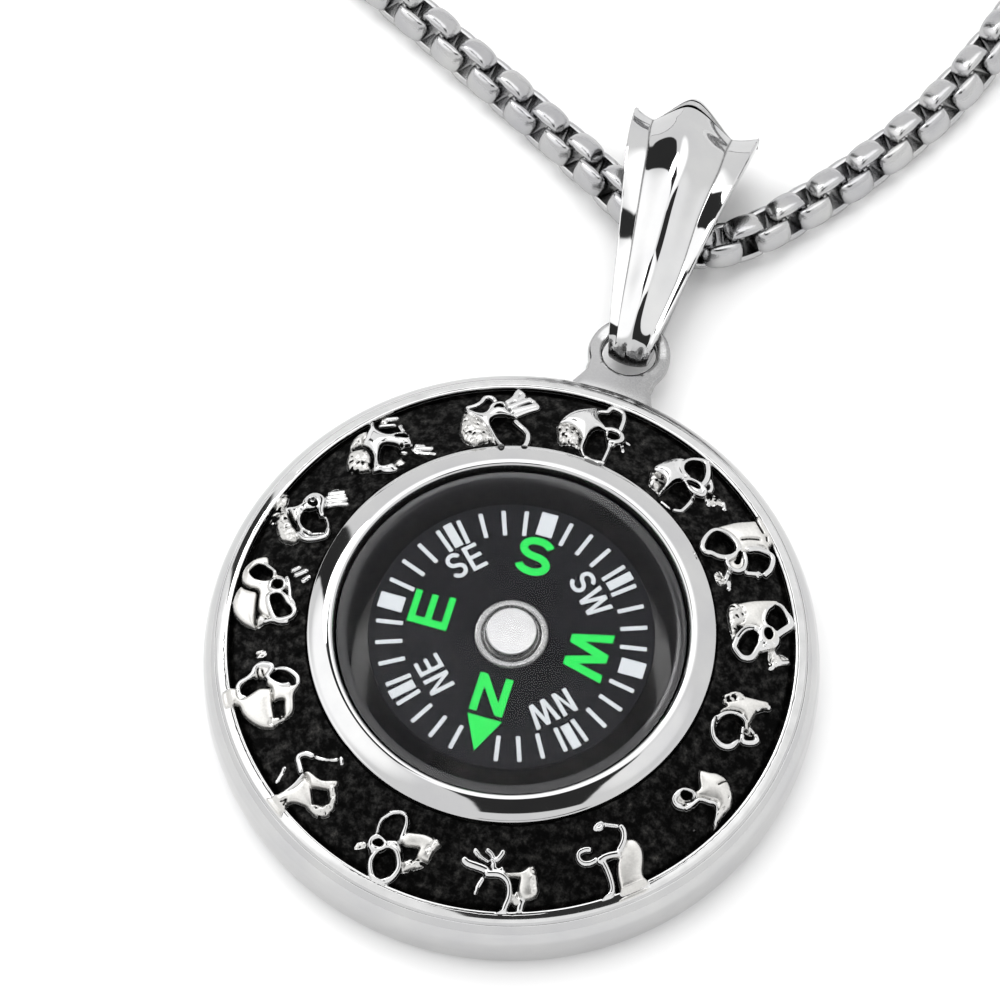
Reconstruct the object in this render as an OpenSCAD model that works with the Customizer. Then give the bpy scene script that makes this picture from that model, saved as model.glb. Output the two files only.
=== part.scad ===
// Compass pendant on a rounded box chain, lying face up on a flat surface.
// Millimetres. +Z points out of the dial, +Y from the dial's centre to the
// eyelet, and the origin is the centre of the case's flat back.

/* [Case] */
// Outer diameter of the case
case_d = 40; // [39:0.5:41]
// Diameter of the flat back
back_d = 38.6; // [37:0.2:39]
// Height of the rounded outer shoulder
shoulder_z = 3.8; // [3.4:0.1:4.0]
// Height of the thin raised lip inside the rim
lip_z = 5.6; // [5.4:0.05:5.8]
// Height of the band's outer edge
band_low_z = 5.05; // [4.8:0.05:5.2]
// Height of the band's inner edge
band_high_z = 7.3; // [7.0:0.1:7.5]
// Outer radius of the round bezel
bezel_out_r = 13.1; // [12.9:0.1:13.3]
// Inner radius of the round bezel
bezel_in_r = 11.35; // [11.3:0.05:11.5]
// Height of the bezel's crown
bezel_z = 8.5; // [8.3:0.1:8.7]
// Thickness of the closed back
back_t = 1.3; // [1:0.1:1.6]

/* [Relief] */
// Radius of a skull's rounded crown
crown_r = 1.75; // [1.5:0.05:1.8]
// Radius of a skull's upper jaw
jaw_r = 1.05; // [0.9:0.05:1.1]
// Radius of an eye socket
socket_r = 0.55; // [0.4:0.05:0.6]

/* [Eyelet] */
// Distance from the dial's centre to the eyelet's centre
eye_y = 23.7; // [23.5:0.1:23.9]
// Radius of the eyelet's hole
eye_hole_r = 1.8; // [1.75:0.05:1.85]
// Outer radius of the eyelet's tab
eye_out_r = 2.75; // [2.6:0.05:2.9]
// Underside of the tab
eye_low_z = 1.6; // [1.5:0.05:1.7]
// Top of the tab beside the case
eye_high_z = 3.55; // [3.4:0.05:3.6]
// Top of the tab at its far end
eye_end_z = 2.4; // [2.3:0.05:2.6]

/* [Compass] */
// Outer radius of the black capsule
capsule_r = 11.2; // [11.1:0.05:11.25]
// Wall of the capsule
capsule_wall = 0.65; // [0.5:0.05:0.8]
// Underside of the lens
lens_low_z = 7.85; // [7.85:0.05:7.9]
// Top of the lens
lens_high_z = 8.2; // [8.15:0.05:8.25]
// Radius of the dial card
card_r = 9.2; // [9.0:0.1:9.6]
// Top face of the dial card
card_z = 7.1; // [7.0:0.05:7.1]
// Thickness of the dial card
card_t = 0.3; // [0.2:0.05:0.4]

/* [Bail] */
// Lean of the bail about the eyelet, in degrees
bail_lean = 3.2; // [2:0.2:4]

/* [Chain] */
// Diameter of the rounded box chain
chain_d = 3; // [2.8:0.05:3]
// Number of sides of the chain's tube
chain_sides = 8; // [8]

/* [Hidden] */
$fn = 64;
case_r = case_d / 2;
back_r = back_d / 2;
lip_r = case_r - 1.55;
band_r = case_r - 1.8;
bore_r = bezel_in_r - 0.05;
seat_z = back_t + 0.05;
band_slope = atan((band_high_z - band_low_z) / (band_r - bezel_out_r));

// One row for each skull on the band: the angle around the dial, the radius
// of its centre, and the way its face points, turned from straight outwards.
skull_columns = ["angle", "radius", "face"];
skulls = [
    [112, 15.35, -55],
    [89.5, 15.1, -83],
    [63.5, 15.8, -87],
    [42, 15.85, -123],
    [21, 16.1, -65],
    [-2, 15.55, -70],
    [-22, 16.3, -107],
    [-46.5, 16.3, -114],
    [-72, 16.3, -110],
    [-96.5, 16.05, -64],
    [-122, 16.1, -147],
    [-147, 16.1, -103],
    [-171, 16.1, -122],
    [167, 15.9, -100],
    [141.5, 16.05, -109]
];

// One row for each station around the bail's loop, from the bend inside the
// eyelet, along the fluted front, over the top and back along the plain strap.
bail_columns = ["y", "z", "half_width", "ridge", "wing", "wall"];
bail_rows = [
    [23.30, 2.40, 1.35, 0.00, 0.00, 0.75],
    [23.65, 3.50, 1.45, 0.08, 0.00, 0.75],
    [24.60, 4.00, 1.66, 0.30, 0.05, 0.75],
    [27.00, 4.35, 2.13, 0.60, 0.10, 0.75],
    [30.00, 4.72, 2.66, 0.75, 0.14, 0.75],
    [33.00, 5.42, 3.22, 0.92, 0.18, 0.80],
    [35.60, 5.80, 3.72, 1.08, 0.24, 0.80],
    [37.80, 5.55, 4.10, 1.26, 0.34, 0.80],
    [39.40, 4.74, 4.30, 1.60, 0.50, 0.80],
    [40.15, 4.22, 4.36, 1.92, 0.56, 0.80],
    [40.27, 4.10, 4.36, 1.97, 0.56, 0.80],
    [40.64, 3.50, 4.28, 2.00, 0.46, 0.80],
    [40.78, 2.70, 4.05, 1.35, 0.25, 0.80],
    [40.20, 1.60, 3.50, 0.50, 0.05, 0.80],
    [38.80, 0.55, 2.90, 0.00, 0.00, 0.75],
    [34.50, 0.06, 2.40, 0.00, 0.00, 0.72],
    [29.00, 0.08, 1.85, 0.00, 0.00, 0.72],
    [25.30, 0.40, 1.45, 0.00, 0.00, 0.72],
    [23.75, 1.25, 1.30, 0.00, 0.00, 0.75]
];
bail_steps = 3;
// Places across the bail, in half widths
bail_across = [-1, -0.82, -0.63, -0.32, 0, 0.32, 0.63, 0.82, 1];

// Route of the chain's centre line, from the end ring, down the right strand,
// through the bail and round the left strand to the clasp ring. Columns: the
// point's x, y and z, and how many rings the stretch that starts there takes.
route_columns = ["x", "y", "z", "rings"];
route = [
    [-55.8, 214.6, 1.52, 1],
    [-38, 202, 1.52, 3],
    [-19, 181, 1.52, 3],
    [-4, 158, 1.52, 3],
    [8, 133, 1.52, 3],
    [16, 107, 1.52, 3],
    [19, 82, 1.52, 3],
    [17, 59, 1.52, 2],
    [13.7, 48.5, 1.52, 2],
    [10.2, 42.2, 1.53, 2],
    [7, 37.6, 1.75, 2],
    [4.6, 34.6, 2.25, 2],
    [2.2, 32.9, 2.46, 2],
    [-0.8, 32.9, 2.46, 2],
    [-3.7, 34.4, 2.44, 2],
    [-6.8, 36.2, 2.05, 2],
    [-10.5, 38.2, 1.6, 2],
    [-17, 41.3, 1.52, 2],
    [-26, 45.4, 1.52, 3],
    [-48, 54.5, 1.52, 3],
    [-72, 62, 1.52, 3],
    [-96, 71.5, 1.52, 3],
    [-118, 86, 1.52, 3],
    [-135, 106, 1.52, 3],
    [-145, 131, 1.52, 3],
    [-147, 157, 1.52, 3],
    [-141, 183, 1.52, 3],
    [-127, 205, 1.52, 3],
    [-106, 219, 1.52, 3],
    [-84, 222.5, 1.52, 1],
    [-72, 221.2, 1.52, 0]
];
// Middle and direction of the clasp between the chain's two ends
clasp_mid = [-64, 218, 0];
clasp_turn = 158;

function cat(p, q, r, s, t) =
    0.5 * (2 * q + (r - p) * t + (2 * p - 5 * q + 4 * r - s) * t * t + (3 * q - 3 * r + s - p) * t * t * t);
function ring_at(rows, i, t) =
    let (n = len(rows)) cat(rows[(i + n - 1) % n], rows[i % n], rows[(i + 1) % n], rows[(i + 2) % n], t);
function unit(v) = v / norm(v);

// A closed solid from rings of equal length; "round" joins the last to the first
module swept(rings, round = false) {
    n = len(rings);
    m = len(rings[0]);
    last = round ? n - 1 : n - 2;
    points = [for (r = rings) for (p = r) p];
    sides = [
        for (i = [0:last]) for (j = [0:m - 1])
            let (a = i * m + j, b = i * m + (j + 1) % m, c = ((i + 1) % n) * m + (j + 1) % m, d = ((i + 1) % n) * m + j)
            each [[a, b, c], [a, c, d]]
    ];
    caps = round ? [] : [[for (j = [m - 1:-1:0]) j], [for (j = [0:m - 1]) (n - 1) * m + j]];
    polyhedron(points = points, faces = concat(sides, caps), convexity = 8);
}

function arc(cx, cy, rx, ry, a0, a1, n) =
    [for (i = [0:n]) let (a = a0 + (a1 - a0) * i / n) [cx + rx * cos(a), cy + ry * sin(a)]];

module case_turned() {
    crown_mid = (bezel_out_r + bezel_in_r) / 2;
    crown_half = (bezel_out_r - bezel_in_r) / 2;
    rotate_extrude($fn = 128)
        polygon(concat(
            [[0, 0], [back_r, 0], [back_r + 0.45, 0.25], [case_r - 0.12, 1.0], [case_r, 1.8], [case_r, 2.8], [case_r - 0.1, shoulder_z - 0.4]],
            arc(lip_r + 0.05, shoulder_z - 0.2, case_r - lip_r - 0.2, lip_z - shoulder_z + 0.2, 8, 84, 6),
            [[lip_r - 0.12, lip_z - 0.03], [band_r + 0.04, lip_z - 0.25], [band_r, band_low_z]],
            [[bezel_out_r, band_high_z]],
            arc(crown_mid, bezel_z - 0.75, crown_half - 0.02, 0.75, 5, 165, 8),
            [[bezel_in_r, bezel_z - 0.9], [bore_r, bezel_z - 1.1], [bore_r, back_t], [0, back_t]]
        ));
}

module skull() {
    difference() {
        union() {
            translate([-0.5, 0, -0.55]) sphere(crown_r, $fn = 32);
            translate([1.35, 0, -0.25]) sphere(jaw_r, $fn = 32);
        }
        for (s = [-1, 1]) translate([0.8, 0.72 * s, 0.75]) sphere(socket_r, $fn = 32);
    }
}

module eyelet_tab() {
    neck_r = 1.2;
    difference() {
        translate([0, 0, eye_low_z]) linear_extrude(eye_high_z + 0.4 - eye_low_z) difference() {
            union() {
                translate([0, eye_y]) circle(eye_out_r);
                polygon([[-3.75, 19.2], [3.75, 19.2], [3.75, 19.9], [2.35, 22.6], [-2.35, 22.6], [-3.75, 19.9]]);
            }
            for (s = [-1, 1]) translate([s * 3.95, 21.35]) circle(neck_r);
        }
        translate([0, eye_y, 0]) cylinder(r = eye_hole_r, h = 6);
        // the top falls away from the case
        rotate([90, 0, 90]) translate([0, 0, -6]) linear_extrude(12)
            polygon([[19, eye_high_z + 0.27], [eye_y + 0.2, eye_end_z + 0.1], [27, eye_end_z - 0.02], [27, 6], [19, 6]]);
    }
}

module case() {
    color([0.80, 0.80, 0.80]) union() {
        case_turned();
        for (k = skulls) rotate(k[0]) translate([k[1], 0, band_low_z + (band_r - k[1]) * tan(band_slope)])
            rotate([0, band_slope, 0]) rotate(k[2]) skull();
        eyelet_tab();
    }
}

module capsule() {
    color([0.05, 0.05, 0.05]) rotate_extrude($fn = 96) polygon([
        [0, seat_z], [capsule_r - 0.3, seat_z], [capsule_r, seat_z + 0.3], [capsule_r, lens_low_z - 0.05],
        [capsule_r - capsule_wall, lens_low_z - 0.05], [capsule_r - capsule_wall, seat_z + 0.65], [0, seat_z + 0.65]
    ]);
}

module pivot_pin() {
    color([0.75, 0.70, 0.55]) rotate_extrude($fn = 48) polygon([
        [0, seat_z + 0.7], [1.2, seat_z + 0.7], [1.2, seat_z + 1.0], [0.35, seat_z + 1.2],
        [0.35, card_z - 1.2], [0.05, card_z - 0.4], [0, card_z - 0.4]
    ]);
}

module dial_card() {
    color([0.08, 0.08, 0.09]) difference() {
        translate([0, 0, card_z - card_t]) cylinder(r = card_r, h = card_t, $fn = 128);
        translate([0, 0, card_z - card_t - 1]) cylinder(r = 1.25, h = card_t + 2);
    }
}

module dial_hub() {
    color([0.78, 0.77, 0.74]) rotate_extrude($fn = 64) polygon([
        [0, card_z - 0.2], [0.12, card_z - 0.2], [0.75, card_z - 0.9], [1.2, card_z - 0.9], [1.2, card_z + 0.02],
        [2.4, card_z + 0.02], [2.4, card_z + 0.2], [2.3, card_z + 0.25], [1.95, card_z + 0.25], [1.8, card_z + 0.1],
        [1.7, card_z + 0.1], [1.66, card_z + 0.62], [1.58, card_z + 0.68], [0, card_z + 0.68]
    ]);
}

module lens() {
    edge = 0.25;
    color([0.75, 0.80, 0.85, 0.35]) rotate_extrude($fn = 128) polygon(concat(
        [[0, lens_low_z], [capsule_r, lens_low_z]],
        arc(capsule_r - edge, lens_high_z - edge, edge, edge, 0, 90, 5),
        [[0, lens_high_z]]
    ));
}

function bail_ridge(u) = pow(max(0, 1 - abs(u) / 0.63), 1.2);
function bail_wing(u) = pow(max(0, (abs(u) - 0.63) / 0.37), 1.5);
function ease(t) = let (c = min(1, max(0, t))) c * c * (3 - 2 * c);
// The right valley runs closer to the edge low down, and the ridge swings left at the top
function bail_x(u, y) =
    let (right = 0.63 + 0.13 * ease((34 - y) / 6))
    (u > 0.63 ? right + (u - 0.63) / 0.37 * (1 - right) : u > 0 ? u * right / 0.63 : u)
    - 0.13 * ease((y - 36.5) / 3) * (1 - abs(u));

module bail() {
    n = len(bail_rows) * bail_steps;
    rings = [
        for (k = [0:n - 1])
            let (
                i = floor(k / bail_steps),
                t = (k % bail_steps) / bail_steps,
                row = ring_at(bail_rows, i, t),
                ahead = ring_at(bail_rows, i, t + 0.02),
                d = unit([ahead[0] - row[0], ahead[1] - row[1]]),
                out = [-d[1], d[0]]
            )
            concat(
                [for (j = [len(bail_across) - 1:-1:0])
                    let (u = bail_across[j], h = row[3] * bail_ridge(u) + row[4] * bail_wing(u))
                    [bail_x(u, row[0]) * row[2], row[0] + out[0] * h, row[1] + out[1] * h]],
                [for (j = [0:len(bail_across) - 1])
                    let (
                        u = bail_across[j],
                        h = 0.8 * (row[3] * bail_ridge(u) + row[4] * bail_wing(u)) - row[5]
                    )
                    [bail_x(u, row[0]) * row[2], row[0] + out[0] * h, row[1] + out[1] * h]]
            )
    ];
    color([0.82, 0.82, 0.82]) translate([0, eye_y, 0]) rotate(bail_lean) translate([0, -eye_y, 0]) swept(rings, round = true);
}

// Tangents that allow for the uneven spacing of the route's points
function place(i) = [route[i][0], route[i][1], route[i][2]];
function gap(i) = norm(place(i + 1) - place(i));
function way(i) =
    i == 0 ? unit(place(1) - place(0)) :
    i == len(route) - 1 ? unit(place(i) - place(i - 1)) :
    let (a = gap(i - 1), b = gap(i))
    ((place(i + 1) - place(i)) / b * a + (place(i) - place(i - 1)) / a * b) / (a + b);
function on_route(i, t) =
    let (g = gap(i), h1 = 2 * t * t * t - 3 * t * t + 1, h2 = t * t * t - 2 * t * t + t, h3 = 3 * t * t - 2 * t * t * t, h4 = t * t * t - t * t)
    h1 * place(i) + h2 * g * way(i) + h3 * place(i + 1) + h4 * g * way(i + 1);

module chain() {
    centres = concat(
        [for (i = [0:len(route) - 2]) for (k = [0:route[i][3] - 1]) on_route(i, k / route[i][3])],
        [place(len(route) - 1)]
    );
    n = len(centres);
    r = chain_d / 2 / cos(180 / chain_sides);
    rings = [
        for (i = [0:n - 1])
            let (
                d = unit(centres[min(i + 1, n - 1)] - centres[max(i - 1, 0)]),
                side = unit(cross(d, [0, 0, 1])),
                up = cross(side, d)
            )
            [for (j = [0:chain_sides - 1]) let (a = 360 * (j + 0.5) / chain_sides) centres[i] + r * (cos(a) * side + sin(a) * up)]
    ];
    color([0.70, 0.70, 0.70]) swept(rings);
}

module at_clasp() {
    translate(clasp_mid) rotate(clasp_turn) children();
}

module clasp() {
    color([0.78, 0.78, 0.78]) at_clasp() difference() {
        union() {
            // the thick body
            translate([-0.6, 0, 0]) cylinder(r = 2.3, h = 2.9);
            translate([2.4, 0, 0]) cylinder(r = 1.7, h = 2.9);
            linear_extrude(2.9) polygon([[-0.2, -2.27], [2.7, -1.68], [2.7, 1.68], [-0.2, 2.27]]);
            // the hook's end and the eye, thin enough to pass inside the rings
            translate([0, 0, 1.35]) linear_extrude(1) polygon([[-6.0, -1.6], [-1, -2.1], [-1, 2.1], [-6.0, 1.6]]);
            translate([-5.6, 0, 1.35]) cylinder(r = 1.65, h = 1);
            translate([5.3, 0, 1.35]) cylinder(r = 1.5, h = 1);
            translate([3, -1.2, 1.35]) cube([2.3, 2.4, 1]);
        }
        // the hook's opening
        translate([-4.9, 0, -1]) cylinder(r = 0.95, h = 6);
        translate([-4.9, -0.95, -1]) cube([2.9, 1.9, 6]);
        translate([-2.0, 0, -1]) cylinder(r = 0.95, h = 6);
        // the eye's hole
        translate([5.1, 0, -1]) cylinder(r = 0.75, h = 6);
    }
}

module upright_ring(x) {
    at_clasp() translate([x, 0, 1.85]) rotate([90, 0, 0]) rotate_extrude($fn = 64) translate([1.5, 0]) circle(0.35, $fn = 32);
}

module clasp_ring() {
    color([0.78, 0.78, 0.78]) upright_ring(6.6);
}

module end_ring() {
    color([0.78, 0.78, 0.78]) upright_ring(-6.8);
}

case();
capsule();
pivot_pin();
dial_card();
dial_hub();
lens();
bail();
chain();
clasp();
clasp_ring();
end_ring();
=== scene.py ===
import math

import bpy
import numpy as np
from mathutils import Matrix

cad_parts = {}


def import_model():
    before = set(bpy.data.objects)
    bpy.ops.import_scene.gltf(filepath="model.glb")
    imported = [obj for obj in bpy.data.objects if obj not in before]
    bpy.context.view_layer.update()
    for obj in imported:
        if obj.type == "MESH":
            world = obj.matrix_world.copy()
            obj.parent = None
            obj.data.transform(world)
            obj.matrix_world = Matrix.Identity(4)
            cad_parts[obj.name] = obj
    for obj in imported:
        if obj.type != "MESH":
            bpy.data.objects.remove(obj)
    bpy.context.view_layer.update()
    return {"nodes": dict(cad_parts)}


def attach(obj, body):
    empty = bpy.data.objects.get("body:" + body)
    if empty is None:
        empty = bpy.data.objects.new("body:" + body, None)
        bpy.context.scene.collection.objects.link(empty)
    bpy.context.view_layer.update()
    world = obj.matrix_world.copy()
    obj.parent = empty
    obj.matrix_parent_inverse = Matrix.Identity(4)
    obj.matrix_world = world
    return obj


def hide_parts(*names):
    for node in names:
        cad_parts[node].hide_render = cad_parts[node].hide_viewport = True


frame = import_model()
NODES = frame["nodes"]
MM = 0.001
rng = np.random.default_rng(7)


# ---------------------------------------------------------------- mesh tools

def piece(name, verts, faces, material, body="pendant", stands_for=(), crease=None, values=None):
    """One closed mesh from points in millimetres and face arrays of any width."""
    verts = np.asarray(verts, float)
    faces = [np.asarray(f, np.int64) for f in faces if len(f)]
    vol = 0.0
    for f in faces:
        for k in range(1, f.shape[1] - 1):
            vol += np.einsum("ij,ij->i", verts[f[:, 0]], np.cross(verts[f[:, k]], verts[f[:, k + 1]])).sum()
    if vol < 0:
        faces = [f[:, ::-1] for f in faces]
    me = bpy.data.meshes.new(name)
    me.vertices.add(len(verts))
    me.vertices.foreach_set("co", (verts * MM).astype(np.float32).ravel())
    loops = np.concatenate([f.ravel() for f in faces])
    sizes = np.concatenate([np.full(len(f), f.shape[1]) for f in faces])
    me.loops.add(len(loops))
    me.loops.foreach_set("vertex_index", loops.astype(np.int32))
    me.polygons.add(len(sizes))
    me.polygons.foreach_set("loop_start", np.concatenate([[0], np.cumsum(sizes)[:-1]]).astype(np.int32))
    me.update(calc_edges=True)
    me.validate()
    me.shade_smooth()
    if crease is not None:
        me.set_sharp_from_angle(angle=math.radians(crease))
    for key, val in (values or {}).items():
        at = me.attributes.new(key, "FLOAT", "POINT")
        at.data.foreach_set("value", np.asarray(val, np.float32))
    ob = bpy.data.objects.new(name, me)
    bpy.context.scene.collection.objects.link(ob)
    me.materials.append(material)
    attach(ob, body)
    if stands_for:
        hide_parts(*stands_for)
    return ob


def spline(points, per=6, closed=False):
    """Catmull-Rom curve through the points."""
    p = np.asarray(points, float)
    n = len(p)
    out = []
    last = n if closed else n - 1
    for i in range(last):
        if closed:
            a, b, c, d = p[(i - 1) % n], p[i], p[(i + 1) % n], p[(i + 2) % n]
        else:
            b, c = p[i], p[i + 1]
            a = p[i - 1] if i > 0 else 2 * b - c
            d = p[i + 2] if i + 2 < n else 2 * c - b
        for t in np.arange(per) / per:
            out.append(0.5 * (2 * b + (c - a) * t + (2 * a - 5 * b + 4 * c - d) * t * t + (3 * b - 3 * c + d - a) * t ** 3))
    if not closed:
        out.append(p[-1])
    return np.array(out)


def join_paths(*parts):
    """Profile pieces laid end to end, shared end points once."""
    out = [np.asarray(parts[0], float)]
    for q in parts[1:]:
        q = np.asarray(q, float)
        out.append(q[1:] if np.allclose(q[0], out[-1][-1]) else q)
    return np.concatenate(out)


def lathe(profile, n):
    """Closed solid of revolution. A profile that starts and ends on the axis is capped there, any other is a ring."""
    p = np.asarray(profile, float)
    on_axis = p[0, 0] < 1e-6 and p[-1, 0] < 1e-6
    a = np.arange(n) * 2 * math.pi / n
    body = p[1:-1] if on_axis else p
    m = len(body)
    v = np.stack([np.outer(body[:, 0], np.cos(a)), np.outer(body[:, 0], np.sin(a)), np.repeat(body[:, 1:2], n, 1)], -1).reshape(-1, 3)
    i, j = np.meshgrid(np.arange(m - 1 if on_axis else m), np.arange(n), indexing="ij")
    i, j = i.ravel(), j.ravel()
    i2, j2 = (i + 1) % m, (j + 1) % n
    quads = np.c_[i * n + j, i * n + j2, i2 * n + j2, i2 * n + j]
    tris = np.zeros((0, 3), int)
    if on_axis:
        k = np.arange(n)
        lo, hi = len(v), len(v) + 1
        v = np.r_[v, [[0, 0, p[0, 1]], [0, 0, p[-1, 1]]]]
        tris = np.r_[np.c_[np.full(n, lo), (k + 1) % n, k], np.c_[np.full(n, hi), (m - 1) * n + k, (m - 1) * n + (k + 1) % n]]
    return v, [quads, tris]


def grid_tube(rings):
    """Closed torus-like mesh from a round of rings, each a round of points."""
    r = np.asarray(rings, float)
    n, m = r.shape[:2]
    i, j = np.meshgrid(np.arange(n), np.arange(m), indexing="ij")
    i, j = i.ravel(), j.ravel()
    i2, j2 = (i + 1) % n, (j + 1) % m
    return r.reshape(-1, 3), [np.c_[i * m + j, i * m + j2, i2 * m + j2, i2 * m + j]]


def merge(parts):
    """Several (verts, faces) as one."""
    vs, quads, tris, base = [], [], [], 0
    for v, fs in parts:
        vs.append(v)
        for f in fs:
            if len(f):
                (quads if f.shape[1] == 4 else tris).append(f + base)
        base += len(v)
    out = []
    if quads:
        out.append(np.concatenate(quads))
    if tris:
        out.append(np.concatenate(tris))
    return np.concatenate(vs), out


def smooth01(x):
    x = np.clip(x, 0, 1)
    return x * x * (3 - 2 * x)


# ---------------------------------------------------------------- materials

def nodes_of(mat):
    mat.use_nodes = True
    nt = mat.node_tree
    return nt, nt.nodes, nt.links, nt.nodes["Principled BSDF"]


def add(nt, kind, **inputs):
    nd = nt.nodes.new(kind)
    for k, val in inputs.items():
        if hasattr(nd, k):
            setattr(nd, k, val)
        else:
            nd.inputs[k.replace("_", " ")].default_value = val
    return nd


def object_coords(nt, scale):
    co = nt.nodes.new("ShaderNodeTexCoord")
    mp = nt.nodes.new("ShaderNodeMapping")
    mp.inputs["Scale"].default_value = scale if hasattr(scale, "__len__") else (scale,) * 3
    nt.links.new(co.outputs["Object"], mp.inputs["Vector"])
    return mp.outputs["Vector"]


def noise(nt, vector, scale=5.0, detail=4.0, rough=0.5):
    nd = nt.nodes.new("ShaderNodeTexNoise")
    nd.inputs["Scale"].default_value = scale
    nd.inputs["Detail"].default_value = detail
    nd.inputs["Roughness"].default_value = rough
    nt.links.new(vector, nd.inputs["Vector"])
    return nd.outputs["Fac"]


def ramp(nt, fac, stops, mode="LINEAR"):
    nd = nt.nodes.new("ShaderNodeValToRGB")
    nd.color_ramp.interpolation = mode
    els = nd.color_ramp.elements
    while len(els) < len(stops):
        els.new(0.5)
    for e, (pos, val) in zip(els, stops):
        e.position = pos
        e.color = (val, val, val, 1) if not hasattr(val, "__len__") else tuple(val) + (1,)
    nt.links.new(fac, nd.inputs["Fac"])
    return nd.outputs["Color"]


def span(nt, fac, lo, hi, a=0.0, b=1.0):
    nd = nt.nodes.new("ShaderNodeMapRange")
    nd.inputs["From Min"].default_value = a
    nd.inputs["From Max"].default_value = b
    nd.inputs["To Min"].default_value = lo
    nd.inputs["To Max"].default_value = hi
    nt.links.new(fac, nd.inputs["Value"])
    return nd.outputs["Result"]


def bump(nt, height, strength, distance, normal=None):
    nd = nt.nodes.new("ShaderNodeBump")
    nd.inputs["Strength"].default_value = strength
    nd.inputs["Distance"].default_value = distance
    nt.links.new(height, nd.inputs["Height"])
    if normal is not None:
        nt.links.new(normal, nd.inputs["Normal"])
    return nd.outputs["Normal"]


def steel(name, tone=0.80, low=0.035, high=0.09, grain=0.0, smear=0.02, with_painted_shade=False):
    """Polished steel: faint smears in its gloss and tone, a little grain in its surface, and painted shade, darker and
    duller, where a vertex attribute asks for it.
    """
    m = bpy.data.materials.new(name)
    nt, nd, ln, bsdf = nodes_of(m)
    bsdf.inputs["Metallic"].default_value = 1.0
    at = object_coords(nt, 1000.0)
    wide = noise(nt, at, 0.35, 3.0, 0.55)
    fine = noise(nt, at, 9.0, 3.0, 0.6)
    colour = ramp(nt, wide, [(0.3, (tone - smear, tone - smear, tone - smear * 0.7)), (0.7, (tone + smear, tone + smear, tone + smear * 0.9))])
    gloss = span(nt, wide, low, high, 0.3, 0.7)
    if with_painted_shade:
        # painted shade: where the attribute is set, the colour goes towards near-black and the gloss dulls. This
        # stands in for shade in creases, recesses and hollows.
        painted_shade_and_marks = nt.nodes.new("ShaderNodeAttribute")
        painted_shade_and_marks.attribute_name = "painted_shade_and_marks"
        amount = nt.nodes.new("ShaderNodeMath")
        amount.operation = "MULTIPLY"
        ln.new(painted_shade_and_marks.outputs["Fac"], amount.inputs[0])
        ln.new(span(nt, fine, 0.75, 1.2, 0.35, 0.6), amount.inputs[1])
        dark = nt.nodes.new("ShaderNodeMix")
        dark.data_type = "RGBA"
        ln.new(amount.outputs[0], dark.inputs["Factor"])
        ln.new(colour, dark.inputs[6])
        ln.new(ramp(nt, fine, [(0.3, (0.012, 0.012, 0.012)), (0.7, (0.045, 0.044, 0.042))]), dark.inputs[7])
        colour = dark.outputs[2]
        dull = nt.nodes.new("ShaderNodeMix")
        dull.data_type = "FLOAT"
        ln.new(amount.outputs[0], dull.inputs["Factor"])
        ln.new(gloss, dull.inputs[2])
        ln.new(span(nt, fine, 0.35, 0.5, 0.3, 0.7), dull.inputs[3])
        gloss = dull.outputs[0]
    ln.new(colour, bsdf.inputs["Base Color"])
    ln.new(gloss, bsdf.inputs["Roughness"])
    if grain:
        ln.new(bump(nt, fine, 1.0, grain * MM), bsdf.inputs["Normal"])
    return m


case_steel = steel("case_steel", 0.45, 0.03, 0.07, with_painted_shade=True)
bail_steel = steel("bail_steel", 0.46, 0.02, 0.05, with_painted_shade=True)
chain_steel = steel("chain_steel", 0.38, 0.10, 0.20, grain=0.012, smear=0.04)
clasp_steel = steel("clasp_steel", 0.46, 0.05, 0.11)
hub_metal = steel("hub_metal", 0.27, 0.14, 0.22, grain=0.002, with_painted_shade=True)


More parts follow.
